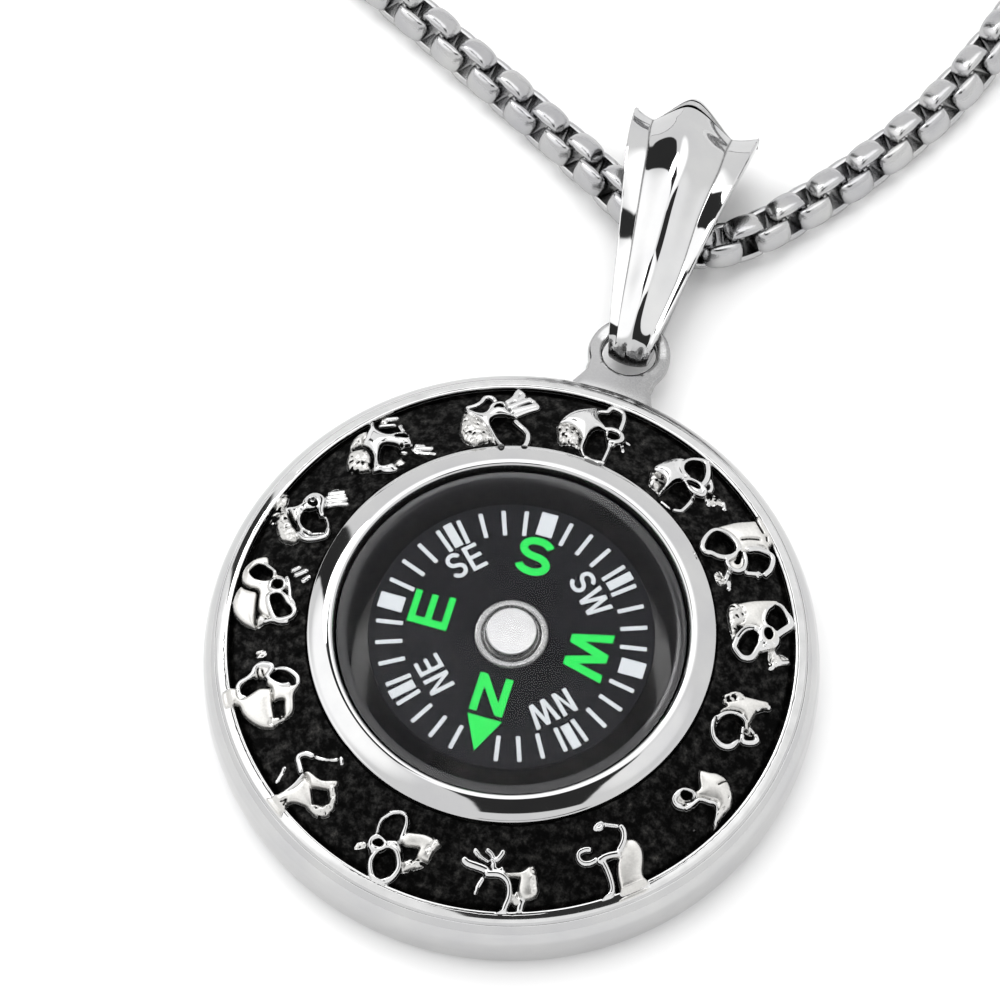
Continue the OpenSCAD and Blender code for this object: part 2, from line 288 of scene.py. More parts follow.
def relief_material():
    """Steel where the mask says polished, blackened and finely grained everywhere else."""
    m = bpy.data.materials.new("case_relief")
    nt, nd, ln, bsdf = nodes_of(m)
    mask = nt.nodes.new("ShaderNodeAttribute")
    mask.attribute_name = "polish"
    at = object_coords(nt, 1000.0)
    fine = noise(nt, at, 7.0, 4.0, 0.65)
    wide = noise(nt, at, 0.8, 3.0, 0.5)
    edge = ramp(nt, mask.outputs["Fac"], [(0.42, 0.0), (0.58, 1.0)])
    ln.new(edge, bsdf.inputs["Metallic"])
    clump = noise(nt, at, 1.5, 6.0, 0.72)
    ln.new(span(nt, clump, 0.02, 0.26, 0.46, 0.74), bsdf.inputs["Specular IOR Level"])
    satin = nt.nodes.new("ShaderNodeAttribute")
    satin.attribute_name = "satin"
    mix = nt.nodes.new("ShaderNodeMix")
    mix.data_type = "RGBA"
    ln.new(edge, mix.inputs["Factor"])
    ln.new(ramp(nt, clump, [(0.40, (0.0008, 0.0008, 0.0008)), (0.54, (0.0020, 0.0019, 0.0018)), (0.63, (0.0085, 0.0080, 0.0072)), (0.74, (0.036, 0.033, 0.029))]), mix.inputs[6])
    metal = nt.nodes.new("ShaderNodeMix")
    metal.data_type = "RGBA"
    ln.new(satin.outputs["Fac"], metal.inputs["Factor"])
    ln.new(ramp(nt, wide, [(0.3, (0.51, 0.51, 0.51)), (0.7, (0.59, 0.59, 0.59))]), metal.inputs[6])
    ln.new(ramp(nt, fine, [(0.3, (0.47, 0.465, 0.45)), (0.7, (0.58, 0.57, 0.55))]), metal.inputs[7])
    ln.new(metal.outputs[2], mix.inputs[7])
    ln.new(mix.outputs[2], bsdf.inputs["Base Color"])
    rough = nt.nodes.new("ShaderNodeMix")
    rough.data_type = "FLOAT"
    ln.new(edge, rough.inputs["Factor"])
    ln.new(span(nt, fine, 0.42, 0.62, 0.3, 0.7), rough.inputs[2])
    gloss = nt.nodes.new("ShaderNodeMix")
    gloss.data_type = "FLOAT"
    ln.new(satin.outputs["Fac"], gloss.inputs["Factor"])
    ln.new(span(nt, wide, 0.05, 0.10, 0.3, 0.7), gloss.inputs[2])
    ln.new(span(nt, fine, 0.30, 0.40, 0.3, 0.7), gloss.inputs[3])
    ln.new(gloss.outputs[0], rough.inputs[3])
    ln.new(rough.outputs[0], bsdf.inputs["Roughness"])
    return m


case_relief = relief_material()


def black_plastic_material():
    m = bpy.data.materials.new("black_plastic")
    nt, nd, ln, bsdf = nodes_of(m)
    at = object_coords(nt, 1000.0)
    wide = noise(nt, at, 0.6, 3.0, 0.5)
    ln.new(ramp(nt, wide, [(0.3, (0.004, 0.004, 0.005)), (0.7, (0.007, 0.007, 0.008))]), bsdf.inputs["Base Color"])
    bsdf.inputs["Specular IOR Level"].default_value = 0.35
    ln.new(span(nt, wide, 0.10, 0.18, 0.3, 0.7), bsdf.inputs["Roughness"])
    return m


black_plastic = black_plastic_material()


def card_material():
    """Printed black card with a fine tooth."""
    m = bpy.data.materials.new("card_black")
    nt, nd, ln, bsdf = nodes_of(m)
    at = object_coords(nt, 1000.0)
    fine = noise(nt, at, 14.0, 3.0, 0.6)
    wide = noise(nt, at, 0.4, 2.0, 0.5)
    ln.new(ramp(nt, wide, [(0.3, (0.0022, 0.0022, 0.0034)), (0.7, (0.004, 0.004, 0.0055))]), bsdf.inputs["Base Color"])
    bsdf.inputs["Specular IOR Level"].default_value = 0.03
    ln.new(span(nt, fine, 0.5, 0.65, 0.3, 0.7), bsdf.inputs["Roughness"])
    ln.new(bump(nt, fine, 0.3, 0.004 * MM), bsdf.inputs["Normal"])
    return m


card_black = card_material()


def ink_material(name, dark, light):
    """Screen-printed ink, slightly uneven."""
    m = bpy.data.materials.new(name)
    nt, nd, ln, bsdf = nodes_of(m)
    at = object_coords(nt, 1000.0)
    fine = noise(nt, at, 6.0, 3.0, 0.6)
    ln.new(ramp(nt, fine, [(0.3, dark), (0.65, light)]), bsdf.inputs["Base Color"])
    ln.new(span(nt, fine, 0.45, 0.6, 0.3, 0.7), bsdf.inputs["Roughness"])
    bsdf.inputs["Specular IOR Level"].default_value = 0.1
    return m


white_ink = ink_material("white_ink", (0.37, 0.39, 0.41), (0.43, 0.45, 0.47))
green_ink = ink_material("green_ink", (0.006, 0.40, 0.045), (0.012, 0.50, 0.07))


def brass_material():
    m = bpy.data.materials.new("pin_brass")
    nt, nd, ln, bsdf = nodes_of(m)
    bsdf.inputs["Metallic"].default_value = 1.0
    at = object_coords(nt, 1000.0)
    wide = noise(nt, at, 1.5, 3.0, 0.5)
    ln.new(ramp(nt, wide, [(0.3, (0.62, 0.48, 0.24)), (0.7, (0.72, 0.57, 0.30))]), bsdf.inputs["Base Color"])
    ln.new(span(nt, wide, 0.18, 0.3, 0.3, 0.7), bsdf.inputs["Roughness"])
    return m


pin_brass = brass_material()


def glass_material():
    """Clear cover: real glass to the eye, and open to the lamps so that the dial is lit."""
    m = bpy.data.materials.new("clear_lens")
    nt, nd, ln, bsdf = nodes_of(m)
    bsdf.inputs["Base Color"].default_value = (1, 1, 1, 1)
    bsdf.inputs["IOR"].default_value = 1.13
    bsdf.inputs["Transmission Weight"].default_value = 1.0
    at = object_coords(nt, 1000.0)
    wide = noise(nt, at, 0.5, 3.0, 0.5)
    ln.new(span(nt, wide, 0.0, 0.012, 0.35, 0.75), bsdf.inputs["Roughness"])
    clear = nt.nodes.new("ShaderNodeBsdfTransparent")
    path = nt.nodes.new("ShaderNodeLightPath")
    mix = nt.nodes.new("ShaderNodeMixShader")
    ln.new(path.outputs["Is Shadow Ray"], mix.inputs[0])
    ln.new(bsdf.outputs[0], mix.inputs[1])
    ln.new(clear.outputs[0], mix.inputs[2])
    ln.new(mix.outputs[0], nt.nodes["Material Output"].inputs["Surface"])
    return m


clear_lens = glass_material()


# ---------------------------------------------------------------- case

RIM_R, RIM_Z = 18.95, 5.40     # where the rim's slope meets the lip


def floor_z(r):
    return 7.3 - (r - 13.1) * 0.4412


def case_shell():
    back = [(0, 0), (6, 0), (12, 0), (17, 0), (19.0, 0)]
    foot = spline([(19.0, 0), (19.3, 0.02), (19.52, 0.12), (19.7, 0.38), (19.85, 0.9), (19.95, 1.55), (20.0, 2.2), (20.0, 2.7), (19.97, 3.2), (19.92, 3.68)], 4)
    slope = spline([(19.92, 3.68), (19.88, 3.95), (19.8, 4.25), (19.68, 4.6), (19.5, 4.89), (19.32, 5.08), (19.14, 5.235)], 5)
    line = [(19.14, 5.235), (19.115, 5.235), (19.10, 5.23), (19.085, 5.245), (19.07, 5.285)]
    flank_low = spline([(19.07, 5.285), (19.02, 5.335), (RIM_R, RIM_Z)], 2)
    under = [(RIM_R, RIM_Z), (18.9, 4.3), (16.0, 5.3), (13.2, 6.6), (13.1, 7.1)]
    wall = [(13.1, 7.1), (13.1, 7.5), (13.1, 7.72)]
    edge = spline([(13.1, 7.72), (13.085, 7.79), (13.04, 7.84), (12.98, 7.875)], 3)
    flank = spline([(12.98, 7.875), (12.72, 8.06), (12.45, 8.21), (12.2, 8.325), (12.02, 8.395), (11.9, 8.432), (11.8, 8.456), (11.72, 8.468), (11.64, 8.472), (11.57, 8.464)], 5)
    lip = spline([(11.57, 8.464), (11.51, 8.43), (11.45, 8.37), (11.4, 8.27), (11.36, 8.1), (11.35, 7.6)], 4)
    bore = [(11.35, 7.6), (11.3, 5.0), (11.3, 1.5), (11.2, 1.3), (6, 1.3), (0, 1.3)]
    path = join_paths(back, foot, slope, line, flank_low, under, wall, edge, flank, lip, bore)
    n = 360
    v, f = lathe(path, n)
    r, z, t = np.hypot(v[:, 0], v[:, 1]), v[:, 2], np.arctan2(v[:, 1], v[:, 0])
    waver = 0.5 + 0.5 * np.sin(3 * t + 1.1) * np.sin(7 * t + 0.4) + 0.25 * np.sin(23 * t) * np.sin(5 * t + 2)
    # painted dark reflection and shade: a thin dark line along the small groove at r 19.1 on the rim's slope, broken
    # up by waver
    painted_shade_and_marks = 0.75 * np.exp(-((r - 19.1) / 0.02) ** 2) * (z > 5) * np.clip(0.35 + 0.65 * waver, 0, 1)
    # painted shade on the bore wall under the bezel's lip; the bezel's foot wall just above the band is darkened too
    painted_shade_and_marks = np.maximum(painted_shade_and_marks, 0.9 * ((r < 11.42) & (r > 11.34) & (z < 8.3)))
    painted_shade_and_marks = np.maximum(painted_shade_and_marks, 0.8 * ((r > 13.08) & (r < 13.2) & (z < 7.6)))
    # wrinkled dark marks where the rim passes the eyelet, and a few faint ones elsewhere
    near = np.exp(-(((np.degrees(t) - 91 + 180) % 360 - 180) / 13.0) ** 4)
    marks = np.sin(61 * t + 9 * (r - 19)) * np.sin(37 * t - 14 * (r - 19)) + 0.6 * np.sin(97 * t + 31 * (r - 19))
    painted_shade_and_marks = np.maximum(painted_shade_and_marks, 0.95 * near * smooth01((marks + 0.15) / 0.4) * (r > 18.98) * (r < 19.9) * (z > 3.9))
    piece("case_shell", v, f, case_steel, stands_for=("case",), crease=38, values={"painted_shade_and_marks": painted_shade_and_marks})


case_shell()

# The skulls on the band, each read off the photo as outlines. A row is
# a shape, its height over the band's floor, a dome or half-width, and points
# (u, r): u is millimetres clockwise from the skull's own angle, r is radius.
SKULLS = [
    (112, [
        ("rough", 0.85, 0.15, [(-2.04, 16.95), (-2.33, 16.37), (-2.63, 15.60), (-2.84, 14.96), (-2.90, 14.42), (-2.75, 13.87), (-2.40, 13.49), (-1.95, 13.37), (-1.45, 13.49), (-0.67, 13.51), (-0.45, 13.15), (-0.40, 13.51), (-0.67, 14.05), (-0.95, 14.78), (-1.26, 15.33), (-1.67, 15.87), (-1.96, 16.42)]),
        ("polished", 1, 0.1, [(-2.13, 16.92), (-1.90, 16.78), (-1.54, 16.42), (-1.08, 16.22), (-0.81, 16.42), (-0.67, 16.78), (-0.40, 17.10), (0.01, 17.22), (0.37, 17.10), (0.53, 16.78), (0.60, 16.24), (0.96, 15.96), (1.15, 15.69), (0.60, 15.76), (0.05, 15.80), (-0.40, 15.69), (-0.65, 15.42), (-0.63, 14.96), (-0.45, 14.42), (-0.26, 13.87), (0.01, 13.42), (0.33, 13.04), (-0.22, 13.02), (-0.58, 13.69), (-0.81, 14.33), (-1.02, 14.96), (-1.26, 15.37), (-1.67, 15.96), (-2.04, 16.42)]),
        ("hole", 0, 0, [(-0.35, 16.37), (-0.26, 16.65), (0.01, 16.74), (0.24, 16.65), (0.28, 16.42), (0.10, 16.39), (-0.13, 16.42)]),
        ("ridge", 0.65, 0.13, [(-1.95, 16.89), (-1.49, 16.98), (-1.08, 17.24), (-0.85, 17.58), (-0.58, 17.65), (-0.35, 17.51), (-0.22, 17.24)]),
        ("hole", 0, 0, [(-0.56, 15.42), (-0.31, 15.71), (0.24, 15.75), (0.69, 15.67), (0.96, 15.46), (1.15, 15.10), (1.51, 14.74), (1.69, 14.46), (1.83, 14.15), (1.71, 13.87), (1.55, 13.69), (1.42, 13.33), (1.37, 13.04), (0.37, 13.04), (-0.02, 13.55), (-0.29, 14.15), (-0.49, 14.78)]),
        ("ridge", 0.7, 0.15, [(1.04, 15.31), (1.33, 14.96), (1.69, 14.60), (1.92, 14.24), (1.96, 13.78), (1.87, 13.33), (1.69, 13.05)]),
        ("ridge", 0.75, 0.17, [(0.51, 17.07), (0.87, 17.42), (1.10, 17.96)]),
        ("ridge", 0.75, 0.14, [(1.15, 18.10), (1.46, 17.69), (1.05, 17.24)]),
        ("ridge", 0.8, 0.17, [(0.69, 16.65), (1.33, 17.05), (1.83, 17.35)]),
        ("ridge", 0.7, 0.15, [(1.78, 17.40), (2.10, 17.15), (2.37, 16.74)]),
        ("ridge", 0.8, 0.18, [(0.87, 16.28), (1.51, 16.53), (2.24, 16.87)]),
        ("ridge", 0.75, 0.17, [(1.05, 15.87), (1.69, 16.28), (2.31, 16.62)]),
    ]),
    (89.5, [
        ("polished", 1, 0.3, [(-0.30, 17.71), (-0.15, 17.24), (0.06, 16.83), (0.47, 16.51), (0.76, 16.22), (0.70, 15.96), (0.34, 15.96), (0.06, 15.74), (-0.09, 15.24), (-0.12, 14.51), (-0.05, 13.96), (0.20, 13.51), (0.52, 13.24), (0.20, 13.28), (-0.12, 13.51), (-0.35, 13.78), (-0.44, 14.33), (-0.53, 14.78), (-0.80, 15.10), (-1.25, 15.37), (-1.80, 15.51), (-2.30, 15.49), (-2.25, 15.78), (-2.07, 16.28), (-1.80, 16.74), (-1.39, 17.13), (-0.80, 17.46)]),
        ("rough", 0.8, 0.1, [(-2.25, 15.42), (-1.80, 15.42), (-1.30, 15.33), (-0.85, 15.05), (-0.62, 14.69), (-0.48, 14.15), (-0.35, 13.74), (-0.89, 13.83), (-1.35, 13.78), (-1.71, 13.65), (-2.03, 13.96), (-2.16, 14.42), (-2.30, 14.96), (-2.35, 15.24)]),
        ("hole", 0, 0, [(0.11, 15.69), (0.38, 15.90), (0.70, 15.94), (0.93, 15.74), (1.11, 15.42), (1.34, 15.05), (1.47, 14.69), (1.52, 14.15), (1.61, 13.51), (1.20, 13.33), (0.79, 13.25), (0.38, 13.44), (0.11, 13.87), (-0.03, 14.51), (-0.03, 15.15)]),
        ("ridge", 0.65, 0.09, [(0.79, 16.10), (1.02, 15.69), (1.29, 15.24), (1.54, 14.78), (1.65, 14.15), (1.73, 13.55)]),
        ("ridge", 0.7, 0.13, [(0.43, 13.24), (0.93, 13.15), (1.38, 13.22), (1.79, 13.33)]),
        ("hole", 0, 0, [(-0.03, 17.24), (0.29, 17.55), (0.65, 17.80), (1.06, 17.72), (1.31, 17.42), (1.41, 16.96), (1.47, 16.60), (1.20, 16.46), (0.79, 16.33), (0.38, 16.60), (0.09, 16.92)]),
        ("ridge", 0.7, 0.13, [(-0.03, 17.51), (0.29, 17.69), (0.40, 18.10), (0.79, 18.16), (1.15, 18.04), (1.34, 17.69), (1.45, 17.24), (1.54, 16.65)]),
        ("hole", 0, 0, [(1.02, 15.96), (1.13, 16.16), (1.43, 16.19), (1.59, 16.01), (1.56, 15.69), (1.29, 15.53), (1.06, 15.60)]),
        ("ridge", 0.85, 0.15, [(0.79, 16.19), (1.11, 16.35), (1.56, 16.35), (1.88, 16.10), (1.97, 15.78), (1.75, 15.46), (1.43, 15.31)]),
        ("ridge", 0.7, 0.14, [(1.34, 15.42), (1.65, 15.10)]),
        ("ridge", 0.3, 0.09, [(2.34, 15.78), (2.61, 15.69)]),
        ("ridge", 0.3, 0.1, [(2.34, 15.24), (2.56, 14.96)]),
        ("ridge", 0.3, 0.07, [(1.97, 15.46), (2.29, 15.33)]),
    ]),
    (63.5, [
        ("polished", 1, 0.3, [(-1.26, 17.44), (-1.54, 17.07), (-1.85, 16.66), (-2.04, 16.25), (-2.22, 15.71), (-2.29, 15.16), (-2.08, 14.80), (-1.58, 14.85), (-1.08, 14.85), (-0.81, 14.62), (-0.67, 14.16), (-0.54, 13.71), (-0.35, 13.66), (-0.47, 14.25), (-0.47, 14.80), (-0.42, 15.35), (-0.22, 15.80), (-0.08, 16.03), (-0.40, 16.16), (-0.76, 16.30), (-1.02, 16.53), (-1.17, 16.85), (-1.22, 17.16)]),
        ("rough", 0.7, 0.1, [(-2.13, 14.75), (-1.72, 14.75), (-1.22, 14.80), (-0.90, 14.62), (-0.76, 14.25), (-0.63, 13.80), (-0.45, 13.64), (-0.85, 13.66), (-1.45, 13.71), (-1.72, 14.07), (-1.95, 14.39)]),
        ("ring", 0.95, 0.16, [(-1.13, 17.07), (-1.05, 17.48), (-0.76, 17.89), (-0.40, 18.15), (-0.04, 17.89), (0.33, 17.48), (0.60, 16.98), (0.65, 16.53), (0.24, 16.33), (-0.31, 16.27), (-0.76, 16.36), (-1.05, 16.62)]),
        ("ridge", 0.65, 0.12, [(-0.22, 18.21), (0.24, 17.80), (0.69, 17.35), (1.15, 17.03), (1.33, 16.71)]),
        ("hole", 0.25, 0, [(-0.99, 17.21), (-0.87, 17.51), (-0.65, 17.74), (-0.40, 17.85), (-0.11, 17.65), (0.16, 17.33), (0.37, 16.98), (0.45, 16.64), (0.24, 16.47), (-0.13, 16.40), (-0.56, 16.44), (-0.82, 16.60), (-0.98, 16.87)]),
        ("polished", 0.9, 0, [(-0.26, 16.03), (0.01, 16.30), (0.51, 16.53), (1.05, 16.53), (1.39, 16.35), (1.44, 15.98), (1.15, 15.66), (0.60, 15.53), (0.15, 15.64), (-0.17, 15.78)]),
        ("hole", 0, 0, [(-0.02, 16.03), (0.25, 16.24), (0.69, 16.31), (0.90, 16.19), (0.81, 16.03), (0.42, 15.89), (0.13, 15.86)]),
        ("ring", 1, 0.11, [(-0.22, 16.03), (0.04, 16.32), (0.51, 16.51), (1.01, 16.51), (1.28, 16.33), (1.31, 16.03), (1.05, 15.78), (0.60, 15.66), (0.15, 15.71), (-0.13, 15.82)]),
        ("hole", 0, 0, [(-0.35, 15.44), (-0.04, 15.66), (0.42, 15.51), (0.87, 15.36), (1.17, 15.12), (1.31, 14.71), (1.45, 14.25), (1.37, 13.80), (0.96, 13.55), (0.24, 13.45), (-0.20, 13.80), (-0.38, 14.35), (-0.42, 14.89)]),
        ("ridge", 0.55, 0.1, [(1.15, 15.35), (1.37, 14.89), (1.55, 14.35), (1.60, 13.98), (1.33, 13.66)]),
        ("ridge", 0.3, 0.06, [(0.24, 13.39), (0.96, 13.46)]),
        ("rough", 0.4, 0.1, [(1.55, 16.53), (2.05, 16.80), (2.60, 16.85), (2.83, 16.71), (2.51, 16.44), (2.42, 16.07), (2.05, 15.89), (1.74, 16.03), (1.60, 16.25)]),
        ("ridge", 0.5, 0.09, [(2.42, 16.94), (2.83, 16.69)]),
        ("ridge", 0.45, 0.09, [(1.74, 16.07), (2.10, 15.94)]),
    ]),
    (42, [
        ("flat", 0.9, 0.1, [(-1.85, 18.53), (-1.66, 17.98), (-1.80, 17.44), (-2.00, 16.80), (-2.12, 16.07), (-2.18, 15.35), (-1.80, 15.30), (-1.53, 15.66), (-1.07, 15.89), (-0.53, 15.94), (-0.16, 15.75), (0.02, 15.53), (0.20, 14.98), (0.47, 14.89), (0.93, 14.80), (1.29, 14.98), (1.38, 15.35), (1.22, 15.80), (0.93, 16.03), (0.47, 16.21), (0.11, 16.44), (-0.03, 16.80), (0.02, 17.25), (0.29, 17.71), (0.56, 17.98), (0.20, 17.98), (0.02, 18.25), (-0.03, 18.53)]),
        ("groove", 0.75, 0.05, [(-0.36, 17.57), (-0.60, 16.98), (-0.71, 16.48)]),
        ("groove", 0.55, 0.06, [(-1.57, 18.00), (-1.07, 17.96), (-0.62, 17.98)]),
        ("groove", 0.55, 0.05, [(-0.35, 18.07), (-0.09, 17.98)]),
        ("ring", 0.95, 0.15, [(-1.96, 14.98), (-1.89, 15.39), (-1.57, 15.75), (-1.07, 16.01), (-0.48, 16.07), (-0.03, 15.83), (0.18, 15.30), (0.15, 14.80), (-0.07, 14.39), (-0.39, 14.07), (-0.53, 13.78), (-0.89, 13.71), (-1.30, 13.89), (-1.71, 14.39)]),
        ("hole", 0, 0, [(-1.78, 14.98), (-1.71, 15.30), (-1.41, 15.57), (-0.98, 15.78), (-0.53, 15.84), (-0.18, 15.65), (0.00, 15.25), (-0.05, 14.80), (-0.25, 14.44), (-0.53, 14.18), (-0.80, 13.95), (-1.16, 14.09), (-1.53, 14.45)]),
        ("hole", 0, 0, [(0.08, 16.89), (0.22, 17.33), (0.49, 17.65), (0.84, 17.76), (1.18, 17.55), (1.45, 17.25), (1.61, 16.98), (1.54, 16.53), (1.43, 16.12), (1.31, 15.94), (1.02, 16.14), (0.56, 16.32), (0.20, 16.55)]),
        ("ridge", 1, 0.15, [(-0.05, 16.66), (0.06, 17.27), (0.38, 17.78), (0.65, 18.00), (1.02, 17.87), (1.47, 17.51), (1.75, 17.07)]),
        ("ridge", 0.75, 0.13, [(1.70, 16.71), (1.65, 16.35), (1.56, 15.89)]),
        ("ridge", 0.7, 0.09, [(1.56, 16.66), (1.88, 16.53)]),
        ("hole", 0, 0, [(0.02, 16.03), (0.22, 16.05), (0.56, 15.83), (0.82, 15.65), (0.86, 15.44), (0.65, 15.32), (0.52, 15.53), (0.20, 15.75)]),
        ("ridge", 1, 0.12, [(0.02, 15.71), (0.22, 15.30), (0.36, 14.96), (0.67, 14.84), (1.11, 14.96), (1.31, 15.30), (1.25, 15.69), (1.02, 15.96), (0.56, 16.18), (0.15, 16.24)]),
        ("ridge", 0.6, 0.14, [(1.02, 14.85), (1.47, 14.62), (1.93, 14.25), (2.15, 13.89)]),
        ("ridge", 0.35, 0.09, [(1.47, 14.62), (2.02, 14.51), (2.70, 14.35)]),
        ("rough", 0.2, 0.05, [(1.47, 14.07), (1.84, 14.16), (2.47, 14.16), (2.56, 13.71), (1.84, 13.57), (1.52, 13.80)]),
    ]),
    (21, [
        ("flat", 0.95, 0.112, [(-2.17, 17.37), (-2.24, 16.78), (-2.27, 16.05), (-2.24, 15.42), (-2.15, 14.87), (-1.95, 14.24), (-1.58, 14.05), (-1.04, 14.33), (-0.49, 14.60), (-0.31, 14.96), (-0.40, 15.42), (-0.26, 15.78), (-0.04, 15.96), (0.51, 15.87), (0.96, 15.87), (1.05, 16.05), (0.87, 16.42), (0.69, 16.78), (0.51, 17.05), (0.15, 17.19), (-0.22, 17.05), (-0.49, 16.78), (-0.67, 16.46), (-0.95, 16.37), (-1.31, 16.51), (-1.67, 16.78), (-1.90, 17.05), (-1.90, 17.33)]),
        ("rough", 0.8, 0.08, [(-2.04, 14.60), (-1.76, 14.96), (-1.13, 15.15), (-0.58, 14.96), (-0.31, 14.69), (0.24, 14.42), (0.87, 14.33), (1.15, 14.24), (0.60, 14.10), (-0.13, 13.96), (-0.76, 13.92), (-1.40, 13.96), (-1.85, 14.15)]),
        ("ridge", 1, 0.18, [(-2.04, 17.19), (-1.90, 17.55), (-1.54, 17.78), (-1.17, 18.02), (-0.81, 18.02), (-0.58, 17.74), (-0.35, 17.42), (-0.13, 17.15)]),
        ("hole", 0, 0, [(-1.87, 17.15), (-1.80, 17.40), (-1.49, 17.63), (-1.13, 17.75), (-0.83, 17.71), (-0.60, 17.49), (-0.42, 17.22), (-0.29, 17.01), (-0.49, 16.75), (-0.67, 16.51), (-0.99, 16.45), (-1.31, 16.58), (-1.61, 16.80), (-1.82, 16.96)]),
        ("ridge", 1.05, 0.09, [(-1.99, 17.01), (-1.75, 16.67), (-1.35, 16.42), (-0.95, 16.31), (-0.63, 16.42), (-0.40, 16.74), (-0.13, 17.01)]),
        ("ring", 1.05, 0.13, [(-0.49, 16.46), (-0.35, 16.83), (0.05, 17.05), (0.46, 16.99), (0.67, 16.69), (0.65, 16.33), (0.42, 16.13), (-0.04, 16.07), (-0.38, 16.21)]),
        ("hole", 0, 0, [(-0.34, 16.54), (-0.20, 16.72), (0.10, 16.80), (0.40, 16.67), (0.47, 16.46), (0.31, 16.30), (-0.04, 16.25), (-0.27, 16.35)]),
        ("ridge", 0.9, 0.11, [(0.10, 17.15), (0.51, 17.08), (0.81, 16.78), (0.92, 16.37), (1.10, 16.01)]),
        ("groove", 0.7, 0.05, [(0.74, 16.24), (0.92, 16.01)]),
        ("ring", 0.9, 0.16, [(-0.26, 15.42), (-0.17, 15.81), (0.24, 15.95), (0.69, 15.94), (1.15, 15.75), (1.60, 15.55), (1.87, 15.31), (1.96, 14.87), (1.74, 14.55), (1.33, 14.28), (0.96, 14.35), (0.51, 14.51), (0.10, 14.78), (-0.17, 15.05)]),
        ("hole", 0, 0, [(-0.06, 15.46), (0.04, 15.72), (0.33, 15.80), (0.69, 15.75), (1.05, 15.57), (1.40, 15.39), (1.62, 15.15), (1.66, 14.89), (1.42, 14.71), (1.05, 14.58), (0.69, 14.67), (0.35, 14.85), (0.07, 15.12)]),
        ("groove", 0.72, 0.04, [(-0.22, 15.60), (-0.24, 15.33), (-0.08, 14.98), (0.24, 14.71), (0.60, 14.51)]),
        ("rough", 0.45, 0.08, [(0.96, 16.87), (1.28, 17.10), (1.33, 17.60), (1.55, 17.87), (1.74, 17.60), (2.05, 17.24), (2.24, 16.87), (2.05, 16.60), (1.60, 16.51), (1.15, 16.60)]),
        ("ridge", 0.55, 0.09, [(1.55, 17.83), (1.69, 17.42), (1.83, 17.10)]),
        ("ridge", 0.5, 0.09, [(0.96, 16.87), (1.51, 16.95), (2.05, 16.87), (2.24, 16.69)]),
    ]),
    (-2, [
        ("flat", 0.95, 0.06, [(-1.89, 16.96), (-1.66, 17.07), (-1.44, 16.92), (-1.30, 16.65), (-1.16, 16.42), (-0.80, 16.33), (-0.35, 16.24), (0.06, 16.19), (-0.16, 15.96), (-0.35, 15.69), (-0.44, 15.33), (-0.39, 14.96), (-0.16, 14.60), (0.11, 14.37), (-0.07, 14.24), (-0.35, 14.33), (-0.62, 14.51), (-0.80, 14.24), (-1.07, 14.15), (-1.35, 14.42), (-1.62, 14.60), (-1.80, 14.87), (-1.75, 15.33), (-1.80, 15.96), (-1.85, 16.51)]),
        ("rough", 0.9, 0.1, [(-1.85, 15.24), (-1.53, 15.51), (-1.16, 15.15), (-0.80, 14.60), (-0.62, 14.24), (-1.07, 14.10), (-1.44, 14.37), (-1.75, 14.78)]),
        ("ridge", 0.9, 0.2, [(-1.69, 16.95), (-1.57, 16.65), (-1.30, 16.33)]),
        ("ridge", 0.85, 0.15, [(-0.39, 15.42), (-0.28, 14.96), (0.06, 14.55), (0.47, 14.28), (0.97, 14.19), (1.47, 14.33), (1.93, 14.65), (2.09, 15.10), (2.00, 15.51), (1.70, 15.81), (1.29, 15.92)]),
        ("ridge", 0.95, 0.11, [(-0.39, 15.33), (-0.37, 15.69), (-0.19, 15.96), (0.11, 16.10)]),
        ("hole", 0, 0, [(-0.18, 15.42), (-0.09, 15.76), (0.20, 15.96), (0.65, 16.04), (1.11, 15.95), (1.47, 15.76), (1.75, 15.45), (1.82, 15.15), (1.72, 14.80), (1.41, 14.57), (0.93, 14.48), (0.38, 14.54), (0.02, 14.80), (-0.16, 15.07)]),
        ("groove", 0.7, 0.04, [(-0.48, 15.60), (-0.48, 15.24), (-0.30, 14.78), (0.02, 14.40), (0.47, 14.17)]),
        ("groove", 0.65, 0.04, [(0.65, 14.25), (1.02, 14.33), (1.47, 14.49), (1.84, 14.78)]),
        ("rough", 0.5, 0.08, [(0.06, 16.24), (0.20, 16.60), (0.47, 16.78), (0.65, 16.51), (0.65, 16.05), (0.29, 15.96)]),
        ("ridge", 0.8, 0.13, [(0.34, 16.87), (0.52, 17.04), (0.79, 16.87), (1.02, 16.51), (1.05, 16.22), (0.79, 16.10)]),
        ("ridge", 0.6, 0.08, [(0.25, 16.65), (0.11, 16.24), (0.29, 15.96), (0.65, 16.04)]),
    ]),
    (-22, [
        ("flat", 0.95, 0.112, [(-1.76, 16.71), (-1.58, 17.07), (-1.31, 17.44), (-0.95, 17.71), (-0.58, 17.85), (-0.13, 17.82), (0.42, 17.89), (0.87, 17.98), (0.60, 17.75), (0.24, 17.53), (-0.13, 17.25), (-0.26, 16.98), (-0.08, 16.71), (0.10, 16.35), (0.33, 16.07), (0.87, 16.03), (1.33, 15.94), (1.69, 15.71), (1.80, 15.35), (1.60, 14.98), (0.96, 14.89), (0.51, 15.16), (0.24, 15.53), (-0.04, 15.66), (-0.31, 15.62), (-0.67, 15.25), (-1.08, 14.98), (-1.26, 15.07), (-1.49, 15.53), (-1.72, 15.89), (-1.81, 16.35)]),
        ("rough", 0.95, 0.06, [(-1.45, 17.30), (-1.04, 17.66), (-0.58, 17.85), (0.24, 17.89), (0.87, 17.98), (0.60, 17.75), (0.05, 17.53), (-0.40, 17.57), (-0.95, 17.44), (-1.31, 17.12)]),
